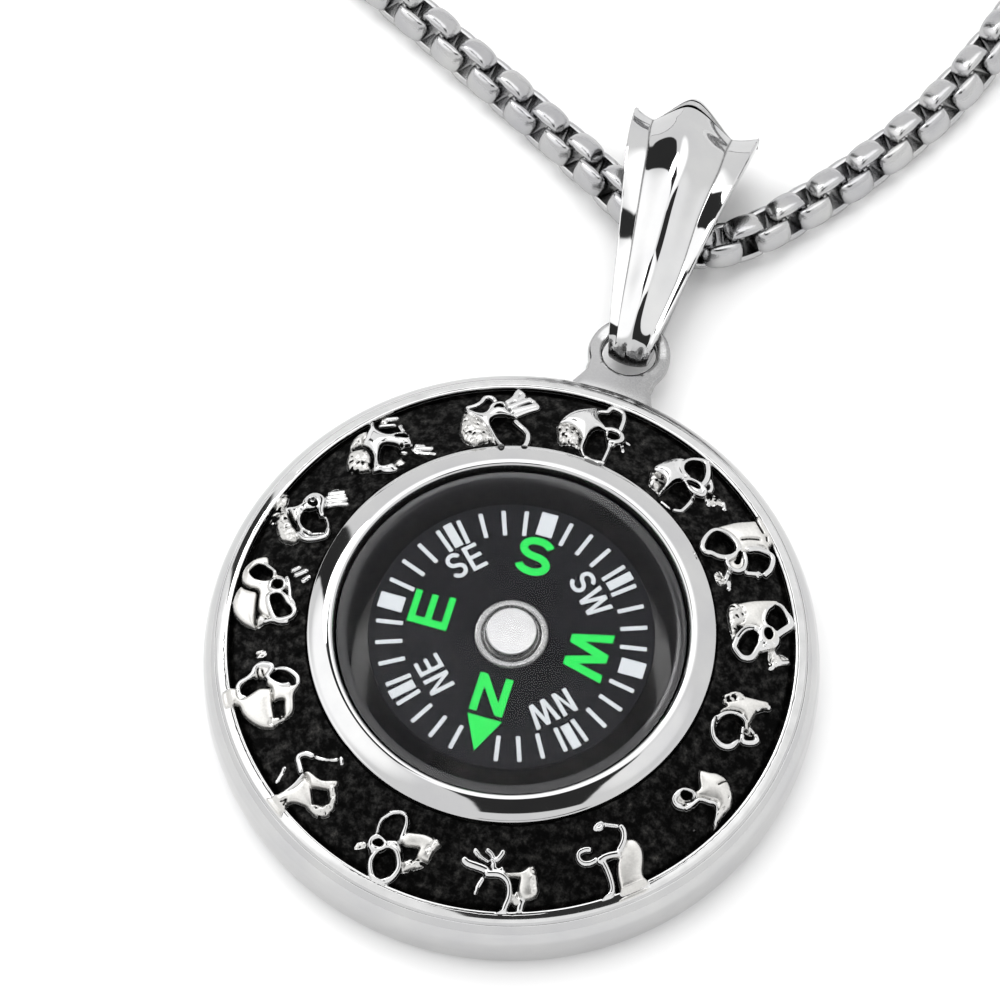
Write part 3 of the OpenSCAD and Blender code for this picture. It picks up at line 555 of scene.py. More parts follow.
        ("groove", 0.85, 0.04, [(-1.76, 16.73), (-1.49, 16.57), (-1.17, 16.45)]),
        ("ridge", 1.1, 0.08, [(0.60, 17.78), (0.24, 17.55), (-0.10, 17.27), (-0.25, 16.98), (-0.05, 16.64), (0.13, 16.30), (0.35, 16.09), (0.87, 16.05), (1.33, 15.96)]),
        ("ring", 1, 0.14, [(0.35, 15.53), (0.44, 15.83), (0.83, 15.98), (1.33, 15.83), (1.63, 15.53), (1.67, 15.25), (1.49, 15.05), (1.05, 14.98), (0.62, 15.14)]),
        ("hole", 0, 0, [(0.51, 15.66), (0.69, 15.83), (1.05, 15.69), (1.17, 15.44), (1.04, 15.18), (0.78, 15.18), (0.60, 15.39)]),
        ("groove", 0.8, 0.04, [(0.46, 15.94), (0.87, 15.89), (1.19, 15.71)]),
        ("rough", 0.25, 0.05, [(1.46, 16.16), (1.69, 16.21), (1.78, 16.03), (1.60, 15.91)]),
        ("ridge", 0.25, 0.06, [(1.69, 17.53), (1.92, 17.35)]),
        ("ridge", 0.25, 0.05, [(1.74, 15.14), (1.89, 15.00)]),
    ]),
    (-46.5, [
        ("flat", 0.9, 0.048, [(-1.07, 18.80), (-1.00, 17.98), (-1.07, 17.62), (-1.35, 17.16), (-1.57, 16.71), (-1.66, 16.35), (-1.62, 15.89), (-1.44, 15.62), (-1.16, 15.51), (-0.80, 15.57), (-0.62, 15.85), (-0.35, 15.98), (0.20, 15.96), (0.65, 15.96), (0.64, 16.25), (0.20, 16.21), (-0.15, 16.25), (0.11, 16.53), (0.31, 16.98), (0.45, 17.53), (0.52, 17.98), (0.65, 18.35), (0.97, 18.80)]),
        ("groove", 0.62, 0.14, [(0.91, 18.44), (0.70, 17.89), (0.56, 17.25), (0.52, 16.71), (0.43, 16.36)]),
        ("ridge", 0.95, 0.15, [(1.70, 18.44), (1.22, 18.16), (0.91, 17.87), (0.81, 17.35), (0.81, 16.71), (0.88, 16.25), (1.02, 16.03)]),
        ("ridge", 1, 0.17, [(-0.16, 16.05), (0.20, 15.96), (0.65, 15.93), (1.06, 16.02)]),
        ("ridge", 0.9, 0.16, [(-0.25, 15.94), (-0.69, 15.62), (-0.96, 15.33), (-1.10, 14.98), (-1.07, 14.75)]),
        ("ridge", 0.4, 0.06, [(-0.89, 14.71), (-0.44, 14.48), (0.02, 14.25)]),
        ("ring", 0.5, 0.07, [(0.08, 14.25), (0.31, 14.37), (0.68, 14.29), (0.52, 14.13), (0.17, 14.10)]),
        ("ridge", 0.8, 0.13, [(1.22, 15.94), (1.65, 16.01), (2.09, 15.92), (2.31, 15.62), (2.23, 15.30), (1.84, 15.18), (1.49, 15.25)]),
    ]),
    (-72, [
        ("flat", 0.95, 0.072, [(-1.90, 17.24), (-1.58, 17.46), (-1.13, 17.51), (-0.81, 17.24), (-0.76, 16.78), (-0.85, 16.33), (-0.81, 16.15), (-0.22, 16.10), (0.10, 15.87), (-0.40, 15.83), (-0.95, 15.80), (-1.26, 15.65), (-1.45, 15.51), (-1.72, 15.53), (-1.90, 15.96), (-1.96, 16.51), (-1.96, 16.96)]),
        ("rough", 0.95, 0.05, [(-1.95, 17.24), (-1.72, 17.42), (-1.54, 17.24), (-1.58, 16.51), (-1.54, 15.69), (-1.76, 15.55), (-1.90, 15.96), (-1.96, 16.60)]),
        ("ridge", 0.75, 0.18, [(-0.76, 18.51), (-0.81, 18.05), (-0.90, 17.69), (-1.02, 17.42)]),
        ("rough", 0.75, 0.08, [(-0.81, 17.87), (-0.49, 17.92), (-0.35, 17.60), (-0.45, 17.24), (-0.67, 16.96), (-0.81, 17.24), (-0.85, 17.60)]),
        ("groove", 0.5, 0.13, [(-0.40, 18.51), (-0.33, 18.05), (-0.26, 17.60), (-0.35, 17.15), (-0.51, 16.78), (-0.51, 16.37)]),
        ("ridge", 0.95, 0.15, [(0.69, 18.46), (0.16, 18.22), (-0.02, 17.78), (-0.20, 17.33), (-0.25, 16.87), (-0.16, 16.42), (0.12, 16.10), (0.51, 15.96), (1.15, 15.99)]),
        ("ridge", 0.85, 0.19, [(1.10, 15.96), (1.33, 15.76), (1.87, 15.63), (2.42, 15.54), (2.67, 15.42)]),
        ("ridge", 0.85, 0.09, [(0.10, 15.87), (0.51, 15.76), (0.87, 15.51)]),
        ("ridge", 0.85, 0.1, [(0.24, 15.67), (0.49, 15.90), (0.76, 15.76), (0.71, 15.46), (0.92, 15.22)]),
        ("ridge", 0.4, 0.1, [(1.15, 15.42), (1.69, 15.15), (2.05, 14.87)]),
        ("ridge", 0.65, 0.11, [(0.69, 15.24), (0.96, 14.87), (1.24, 14.69)]),
        ("ridge", 0.75, 0.14, [(0.53, 15.15), (0.35, 14.96), (0.21, 14.74)]),
        ("ridge", 0.35, 0.08, [(1.69, 17.33), (1.60, 16.87), (1.37, 16.42)]),
    ]),
    (-96.5, [
        ("rough", 0.8, 0.1, [(-0.30, 17.42), (-0.44, 17.05), (-0.35, 16.60), (-0.71, 16.33), (-1.16, 16.10), (-1.62, 16.01), (-1.85, 16.15), (-1.62, 16.51), (-1.25, 16.78), (-0.80, 17.10)]),
        ("flat", 0.95, 0.06, [(-1.85, 16.10), (-1.16, 16.05), (-1.03, 15.87), (-1.03, 15.46), (-0.62, 15.51), (-0.16, 15.65), (0.20, 15.55), (0.47, 15.51), (0.20, 15.15), (0.11, 14.87), (-0.44, 14.69), (-1.07, 14.55), (-1.71, 14.60), (-2.21, 14.74), (-2.33, 14.92), (-2.07, 15.33), (-1.96, 15.78)]),
        ("rough", 0.9, 0.05, [(-2.25, 14.96), (-1.94, 15.69), (-1.62, 15.96), (-1.53, 15.51), (-1.80, 14.96), (-1.62, 14.60), (-2.07, 14.69)]),
        ("polished", 0.95, 0.05, [(-0.30, 16.87), (-0.30, 16.42), (-0.16, 16.05), (0.11, 15.78), (0.47, 15.55), (0.93, 15.74), (1.38, 15.87), (1.84, 15.87), (2.06, 16.15), (2.02, 16.51), (1.84, 16.78), (1.56, 17.15), (1.43, 17.42), (1.20, 16.65), (0.93, 16.28), (0.52, 16.16), (0.11, 16.37), (-0.12, 16.78)]),
        ("ring", 1, 0.14, [(-0.27, 17.15), (-0.12, 17.63), (0.20, 17.99), (0.49, 18.15), (0.88, 18.05), (1.22, 17.67), (1.41, 17.24), (1.36, 16.87), (1.15, 16.55), (1.02, 16.30), (0.65, 16.07), (0.29, 16.12), (-0.03, 16.42), (-0.23, 16.78)]),
        ("hole", 0, 0, [(-0.07, 17.19), (0.11, 17.67), (0.34, 17.89), (0.65, 17.95), (0.95, 17.72), (1.18, 17.40), (1.23, 17.05), (1.14, 16.66), (0.88, 16.35), (0.52, 16.25), (0.22, 16.39), (0.02, 16.71)]),
        ("ring", 1, 0.11, [(0.99, 16.10), (1.24, 16.47), (1.56, 16.65), (1.91, 16.54), (2.00, 16.19), (1.82, 15.89), (1.47, 15.89), (1.17, 15.98)]),
        ("hole", 0, 0, [(1.13, 16.15), (1.31, 16.40), (1.56, 16.51), (1.77, 16.40), (1.71, 16.21), (1.47, 16.03), (1.25, 16.07)]),
        ("ridge", 0.85, 0.13, [(0.27, 15.42), (0.32, 14.96), (0.41, 14.51), (0.64, 14.15)]),
        ("polished", 0.7, 0.05, [(0.02, 14.96), (0.29, 15.24), (0.38, 14.78), (0.47, 14.33), (0.61, 14.10), (0.29, 14.24), (0.11, 14.60)]),
        ("hole", 0, 0, [(0.45, 15.15), (0.54, 15.45), (0.93, 15.67), (1.38, 15.81), (1.75, 15.72), (1.86, 15.42), (1.91, 15.05), (1.82, 14.69), (1.55, 14.35), (1.11, 14.13), (0.72, 14.17), (0.49, 14.51)]),
        ("ridge", 0.5, 0.07, [(1.84, 15.78), (1.97, 15.42), (2.02, 15.05), (1.88, 14.69), (1.56, 14.28), (1.11, 14.05), (0.75, 14.07)]),
        ("rough", 0.35, 0.08, [(1.97, 16.96), (2.20, 17.24), (2.47, 17.42), (2.52, 17.05), (2.38, 16.87), (2.11, 16.74)]),
    ]),
    (-122, [
        ("rough", 0.85, 0.1, [(0.10, 17.48), (-0.40, 17.30), (-0.95, 17.30), (-1.45, 17.25), (-1.81, 17.03), (-2.04, 16.66), (-2.05, 16.25), (-1.90, 15.80), (-1.63, 15.48), (-1.26, 15.21), (-1.08, 14.98), (-0.85, 15.16), (-0.67, 15.30), (-0.85, 15.62), (-1.54, 16.15), (-0.90, 16.75), (-0.40, 17.07)]),
        ("flat", 1, 0.048, [(-0.90, 16.98), (-0.40, 17.25), (0.05, 17.53), (0.24, 17.89), (0.10, 18.35), (0.05, 18.80), (1.33, 18.80), (1.15, 18.25), (0.98, 17.80), (0.89, 17.25), (0.90, 16.53), (1.01, 16.12), (0.78, 16.03), (0.24, 16.12), (-0.31, 16.44), (-0.67, 16.71)]),
        ("flat", 0.95, 0.032, [(0.10, 16.21), (-0.31, 15.94), (-0.76, 15.62), (-1.08, 15.39), (-1.13, 15.07), (-0.93, 14.73), (-0.58, 14.98), (-0.22, 15.35), (0.15, 15.53), (0.60, 15.62), (0.96, 15.75), (1.05, 16.03), (0.60, 16.03)]),
        ("groove", 0.4, 0.05, [(0.19, 18.35), (0.33, 17.98), (0.42, 18.35)]),
        ("ridge", 1.05, 0.08, [(1.15, 18.30), (0.98, 17.80), (0.91, 17.25), (0.92, 16.71), (1.03, 16.14)]),
        ("ridge", 0.75, 0.14, [(1.28, 16.12), (1.69, 15.98), (2.04, 15.87), (2.16, 15.66), (1.99, 15.27), (1.62, 15.05)]),
        ("ridge", 0.35, 0.06, [(1.62, 15.05), (1.15, 14.89), (0.51, 14.44), (0.15, 14.07)]),
        ("ridge", 0.35, 0.07, [(-0.31, 13.98), (0.01, 13.82)]),
        ("ridge", 0.35, 0.07, [(1.65, 17.71), (1.83, 17.25), (2.05, 16.89)]),
    ]),
    (-147, [
        ("flat", 1, 0.112, [(0.11, 18.80), (0.06, 17.98), (-0.53, 17.82), (-1.07, 17.57), (-1.57, 17.21), (-1.94, 16.80), (-2.16, 16.25), (-1.80, 16.03), (-1.35, 15.96), (-0.62, 15.85), (-0.16, 15.75), (0.34, 15.71), (0.56, 16.16), (0.61, 16.53), (0.47, 16.98), (0.34, 17.35), (0.29, 17.71), (0.56, 17.85), (1.02, 17.89), (1.11, 18.80)]),
        ("rough", 0.85, 0.06, [(-2.21, 16.25), (-2.03, 16.53), (-1.75, 16.35), (-1.66, 15.98), (-1.75, 15.53), (-2.07, 15.53), (-2.21, 15.80)]),
        ("flat", 0.9, 0.032, [(-2.03, 15.53), (-2.07, 15.16), (-1.85, 14.80), (-1.44, 14.62), (-0.89, 14.48), (-0.53, 14.30), (-0.25, 14.03), (-0.03, 14.03), (0.02, 14.35), (0.11, 14.80), (0.29, 15.16), (0.56, 15.53), (0.93, 15.85), (0.65, 15.94), (0.34, 15.71), (-0.16, 15.71), (-0.57, 15.75), (-0.62, 15.53), (-0.75, 15.12), (-1.25, 15.25), (-1.80, 15.39)]),
        ("flat", 0.85, 0.02, [(1.29, 16.62), (1.65, 16.71), (2.02, 16.44), (2.13, 16.07), (1.97, 15.62), (1.65, 15.44), (1.29, 15.62), (1.11, 15.89), (1.20, 16.25)]),
        ("ridge", 0.95, 0.15, [(0.34, 17.48), (0.56, 17.74), (1.02, 17.78), (1.34, 17.55), (1.47, 17.07), (1.67, 16.71), (1.97, 16.51), (2.14, 16.16), (2.05, 15.80), (1.82, 15.45), (1.47, 15.55), (1.22, 15.80)]),
        ("hole", 0, 0, [(0.49, 17.53), (0.75, 17.62), (1.00, 17.53), (1.20, 17.24), (1.29, 16.80), (1.16, 16.53), (0.85, 16.56), (0.64, 16.87), (0.49, 17.24)]),
        ("groove", 0.7, 0.04, [(1.11, 16.33), (1.56, 16.42), (1.84, 16.33)]),
        ("groove", 0.7, 0.035, [(1.25, 16.05), (1.65, 16.10)]),
        ("ridge", 0.95, 0.11, [(0.15, 14.62), (0.29, 15.07), (0.65, 15.48), (1.02, 15.75)]),
        ("ridge", 0.7, 0.13, [(1.43, 15.16), (1.38, 14.80), (1.15, 14.44), (0.79, 14.16), (0.38, 13.98), (-0.03, 14.03)]),
        ("hole", 0, 0, [(0.22, 14.62), (0.32, 14.98), (0.67, 15.33), (0.95, 15.57), (1.11, 15.64), (1.27, 15.42), (1.38, 15.16), (1.30, 14.89), (1.08, 14.56), (0.75, 14.35), (0.40, 14.28)]),
        ("rough", 0.3, 0.08, [(2.34, 16.35), (2.75, 16.48), (2.79, 15.89), (2.47, 15.75), (2.34, 16.03)]),
    ]),
    (-171, [
        ("flat", 1.05, 0.128, [(0.74, 17.92), (0.24, 18.15), (-0.31, 18.19), (-0.85, 18.01), (-1.31, 17.65), (-1.67, 17.19), (-1.90, 16.69), (-1.95, 16.42), (-1.58, 16.55), (-0.85, 16.58), (-0.22, 16.62), (0.42, 16.71), (0.51, 17.15), (0.60, 17.60)]),
        ("flat", 0.95, 0.032, [(0.87, 17.78), (1.33, 18.05), (1.87, 18.04), (2.42, 17.65), (2.76, 17.10), (2.78, 16.74), (2.46, 16.51), (2.05, 16.15), (1.80, 15.78), (1.74, 15.37), (1.51, 15.10), (1.05, 14.92), (0.60, 14.78), (0.51, 15.24), (0.46, 15.69), (0.24, 15.87), (-0.22, 15.78), (-0.76, 15.55), (-1.22, 15.37), (-1.45, 15.42), (-1.22, 15.96), (-0.76, 16.42), (-0.22, 16.55), (0.46, 16.65), (0.60, 17.24)]),
        ("groove", 0.75, 0.06, [(0.87, 17.85), (0.60, 17.42), (0.51, 16.83), (0.24, 16.65), (-0.67, 16.56)]),
        ("rough", 0.85, 0.08, [(-2.04, 16.33), (-1.58, 16.46), (-1.13, 16.37), (-1.31, 15.87), (-1.58, 15.42), (-1.81, 14.69), (-1.90, 14.96), (-1.81, 15.60), (-1.85, 15.96)]),
        ("ridge", 0.9, 0.09, [(-1.61, 15.87), (-1.56, 15.42), (-1.75, 14.96), (-1.81, 14.42)]),
        ("ridge", 1.05, 0.12, [(1.01, 16.78), (1.12, 17.31), (1.46, 17.76), (1.87, 17.72), (2.26, 17.35), (2.33, 16.87), (2.15, 16.42), (1.87, 15.96)]),
        ("hole", 0, 0, [(1.12, 16.78), (1.22, 17.22), (1.55, 17.60), (1.83, 17.48), (2.12, 17.22), (2.15, 16.87), (1.98, 16.51), (1.76, 16.07), (1.35, 16.04), (1.14, 16.33)]),
        ("ring", 1.05, 0.09, [(0.60, 15.60), (0.74, 15.95), (1.19, 15.99), (1.42, 15.69), (1.42, 15.30), (1.10, 15.05), (0.78, 15.07), (0.62, 15.30)]),
        ("hole", 0, 0, [(0.75, 15.58), (0.88, 15.81), (1.17, 15.81), (1.26, 15.51), (1.14, 15.22), (0.92, 15.17), (0.75, 15.33)]),
        ("ring", 1, 0.13, [(-1.56, 14.96), (-1.34, 15.31), (-0.81, 15.60), (-0.22, 15.85), (0.19, 15.90), (0.40, 15.60), (0.38, 15.12), (0.08, 14.75), (-0.31, 14.48), (-0.63, 14.17), (-1.04, 14.01), (-1.43, 14.25)]),
        ("hole", 0, 0, [(-1.43, 14.96), (-1.24, 15.21), (-0.75, 15.44), (-0.22, 15.70), (0.13, 15.75), (0.25, 15.51), (0.22, 15.16), (-0.05, 14.90), (-0.42, 14.67), (-0.78, 14.31), (-1.13, 14.22), (-1.38, 14.51)]),
        ("ridge", 0.9, 0.11, [(-0.90, 13.95), (-0.40, 14.15), (0.05, 14.45), (0.51, 14.58), (1.15, 14.81), (1.55, 15.04)]),
        ("ridge", 0.5, 0.11, [(2.15, 14.83), (2.42, 14.51)]),
        ("ridge", 0.5, 0.12, [(1.83, 14.51), (2.24, 13.96)]),
        ("ridge", 0.4, 0.12, [(1.42, 13.87), (1.69, 13.65)]),
    ]),
    (167, [
        ("rough", 0.95, 0.15, [(-0.80, 17.60), (-1.25, 17.24), (-1.62, 16.92), (-1.89, 16.60), (-2.03, 16.15), (-2.03, 15.69), (-1.80, 15.37), (-1.44, 15.42), (-1.16, 15.69), (-0.89, 16.05), (-0.62, 16.42), (-0.35, 16.78), (0.02, 17.24), (-0.07, 17.55), (-0.44, 17.65)]),
        ("polished", 0.95, 0.1, [(0.06, 17.60), (0.29, 17.42), (0.56, 16.96), (0.93, 16.74), (1.47, 16.69), (1.84, 16.42), (1.97, 15.96), (1.84, 15.69), (1.47, 15.42), (1.11, 15.19), (0.79, 14.96), (0.65, 15.01), (0.79, 15.42), (0.93, 15.60), (0.65, 15.87), (0.47, 16.24), (0.11, 16.28), (-0.25, 16.15), (-0.53, 15.87), (-0.75, 15.42), (-0.85, 14.96), (-0.71, 14.51), (-0.44, 14.05), (-0.07, 13.96), (-0.62, 13.78), (-0.98, 14.05), (-1.25, 14.51), (-1.48, 14.96), (-1.44, 15.33), (-1.07, 15.69), (-0.80, 15.96), (-0.44, 16.51), (-0.07, 17.05)]),
        ("groove", 0.72, 0.06, [(0.13, 17.19), (-0.33, 16.62), (-0.69, 16.01), (-0.96, 15.46)]),
        ("rough", 0.7, 0.08, [(-1.07, 17.87), (-0.62, 18.05), (-0.16, 18.15), (0.38, 18.33), (1.02, 18.15), (0.84, 17.74), (0.20, 17.51), (-0.25, 17.69), (-0.71, 17.65), (-1.03, 17.60)]),
        ("ridge", 1, 0.09, [(-0.85, 14.96), (-0.78, 15.45), (-0.48, 15.95), (-0.07, 16.24), (0.34, 16.29)]),
        ("ridge", 0.9, 0.13, [(-1.16, 15.60), (-1.37, 15.05), (-1.24, 14.51), (-0.96, 14.05), (-0.62, 13.80), (-0.16, 13.94)]),
        ("groove", 0.7, 0.04, [(-1.00, 15.33), (-1.12, 14.87), (-0.96, 14.42), (-0.75, 14.10)]),
        ("hole", 0, 0, [(-0.74, 14.96), (-0.68, 15.40), (-0.41, 15.85), (-0.05, 16.10), (0.29, 16.17), (0.55, 15.95), (0.67, 15.58), (0.71, 15.15), (0.54, 14.62), (0.20, 14.27), (-0.15, 14.16), (-0.49, 14.36)]),
        ("ridge", 0.5, 0.07, [(0.75, 14.96), (0.61, 14.60), (0.20, 14.15), (-0.16, 13.96)]),
        ("ridge", 0.95, 0.13, [(0.65, 16.33), (1.11, 16.63), (1.65, 16.54), (1.86, 16.15), (1.77, 15.69), (1.38, 15.44), (0.97, 15.22), (0.72, 14.95)]),
        ("hole", 0, 0, [(0.99, 16.31), (1.22, 16.39), (1.47, 16.25), (1.42, 15.96), (1.24, 15.67), (1.00, 15.71), (0.91, 16.05)]),
        ("ridge", 0.7, 0.07, [(1.22, 16.25), (1.42, 15.96)]),
        ("ridge", 0.6, 0.12, [(1.49, 15.10), (1.93, 14.60), (2.29, 14.05)]),
        ("ridge", 0.65, 0.12, [(1.76, 15.37), (2.20, 14.83), (2.61, 14.37)]),
        ("ridge", 0.6, 0.13, [(2.34, 15.58), (2.70, 15.16), (2.93, 14.92)]),
        ("ridge", 0.6, 0.1, [(2.02, 15.51), (2.47, 15.01), (2.79, 14.65)]),
        ("polished", 0.4, 0, [(1.43, 15.05), (1.84, 15.46), (2.29, 15.62), (2.65, 15.60), (2.95, 15.15), (2.82, 14.69), (2.56, 14.35), (2.29, 14.05), (1.93, 14.25), (1.56, 14.60)]),
    ]),
    (141.5, [
        ("rough", 1, 0.12, [(-1.22, 17.57), (-1.67, 17.07), (-2.22, 16.62), (-2.54, 16.16), (-2.63, 15.71), (-2.40, 15.39), (-2.04, 15.07), (-1.67, 14.80), (-1.45, 15.07), (-1.13, 15.35), (-0.90, 15.71), (-0.76, 16.16), (-0.81, 16.62), (-1.04, 16.85), (-1.45, 16.98)]),
        ("rough", 0.8, 0.08, [(-1.22, 17.62), (-0.76, 17.89), (-0.22, 17.85), (0.05, 17.71), (-0.40, 17.35), (-0.67, 17.07), (-1.04, 16.98), (-1.31, 17.16)]),
        ("polished", 0.97, 0.15, [(0.46, 18.30), (0.74, 18.30), (0.62, 17.89), (0.60, 17.48), (0.76, 17.03), (1.05, 16.66), (1.55, 16.53), (1.96, 16.25), (2.07, 15.80), (2.01, 15.35), (1.83, 15.00), (1.42, 15.09), (1.05, 15.12), (0.96, 15.48), (0.69, 15.85), (0.37, 16.09), (0.05, 16.03), (-0.31, 15.66), (-0.63, 15.25), (-0.81, 14.75), (-0.58, 14.53), (-0.04, 14.39), (-0.13, 13.80), (-0.58, 13.85), (-0.95, 14.16), (-1.54, 14.48), (-1.58, 14.71), (-1.22, 15.16), (-0.90, 15.53), (-0.67, 16.07), (-0.67, 16.53), (-0.76, 16.98), (-0.40, 17.35), (-0.04, 17.71), (0.28, 17.98)]),
        ("groove", 0.72, 0.08, [(-1.26, 16.85), (-0.87, 16.62), (-0.76, 16.16), (-0.93, 15.62), (-1.40, 15.07)]),
        ("hole", 0, 0, [(1.15, 16.25), (1.42, 16.21), (1.78, 16.03), (1.92, 15.75), (1.69, 15.62), (1.33, 15.89), (1.15, 16.07)]),
        ("hole", 0, 0, [(1.10, 15.39), (1.28, 15.35), (1.25, 15.16), (1.12, 15.18)]),
        ("hole", 0, 0, [(-0.65, 14.80), (-0.51, 15.15), (-0.20, 15.55), (0.16, 15.95), (0.42, 15.99), (0.66, 15.74), (0.87, 15.44), (0.92, 15.07), (0.84, 14.73), (0.51, 14.48), (0.05, 14.47), (-0.38, 14.65)]),
        ("hole", 0, 0, [(0.69, 17.35), (0.87, 17.51), (1.24, 17.42), (1.58, 17.15), (1.75, 16.80), (1.66, 16.60), (1.24, 16.65), (0.94, 16.91)]),
        ("rough", 0.6, 0.08, [(0.83, 17.57), (0.92, 17.98), (1.33, 18.16), (1.69, 17.98), (2.01, 17.80), (1.96, 17.53), (1.60, 17.53), (1.42, 17.71), (1.15, 17.53)]),
        ("ridge", 0.65, 0.12, [(1.42, 17.98), (1.96, 17.69)]),
        ("ridge", 0.6, 0.09, [(0.87, 17.69), (1.60, 17.25)]),
        ("ridge", 0.5, 0.08, [(1.87, 16.98), (1.87, 16.53)]),
        ("ridge", 0.75, 0.12, [(-1.13, 14.48), (-0.67, 13.98), (-0.22, 13.80)]),
        ("ridge", 0.6, 0.09, [(0.96, 14.80), (1.15, 14.62)]),
        ("rough", 0.35, 0.06, [(0.05, 14.35), (0.60, 14.25), (0.69, 13.80), (0.24, 13.75), (-0.13, 13.98)]),
        ("ridge", 0.45, 0.12, [(1.83, 14.62), (2.42, 14.39), (2.87, 14.16)]),
        ("ridge", 0.45, 0.09, [(2.05, 14.80), (2.51, 14.57)]),
        ("ridge", 0.35, 0.09, [(1.96, 14.16), (2.42, 13.89), (2.87, 13.57)]),
        ("ridge", 0.4, 0.09, [(1.74, 14.62), (1.83, 14.30), (2.05, 14.16)]),
    ]),
]

N_AROUND = 1836
R_STEPS = np.concatenate([np.linspace(13.02, 18.14, 93), np.linspace(18.17, RIM_R, 24)])
LEAN = np.array([0.150, -0.428])   # how far a point slides towards the viewer per mm of height


def blur(a, s_i, s_j):
    """Gaussian blur: round the ring along axis 0, clamped along axis 1. Widths in cells."""
    n = a.shape[0]
    f = np.fft.fftfreq(n)
    a = np.fft.ifft(np.fft.fft(a, axis=0) * np.exp(-2 * (math.pi * f * s_i) ** 2)[:, None], axis=0).real
    k = int(3 * s_j) + 1
    w = np.exp(-0.5 * (np.arange(-k, k + 1) / s_j) ** 2)
    w /= w.sum()
    p = np.pad(a, ((0, 0), (k, k)), mode="edge")
    return sum(w[t] * p[:, t:t + a.shape[1]] for t in range(2 * k + 1))


def away(px, py, pts, closed):
    """Distance from each point to a line, and whether it is inside when closed."""
    q = np.asarray(pts)
    best = np.full(px.shape, 1e9)
    inside = np.zeros(px.shape, bool)
    n = len(q)
    for i in range(n if closed else n - 1):
        a, b = q[i], q[(i + 1) % n]
        d = b - a
        t = np.clip(((px - a[0]) * d[0] + (py - a[1]) * d[1]) / (d @ d + 1e-12), 0, 1)
        best = np.minimum(best, (px - a[0] - t * d[0]) ** 2 + (py - a[1] - t * d[1]) ** 2)
        if closed:
            up = (a[1] > py) != (b[1] > py)
            with np.errstate(divide="ignore", invalid="ignore"):
                cross = px < (b[0] - a[0]) * (py - a[1]) / (b[1] - a[1]) + a[0]
            inside ^= up & cross
    return np.sqrt(best), inside


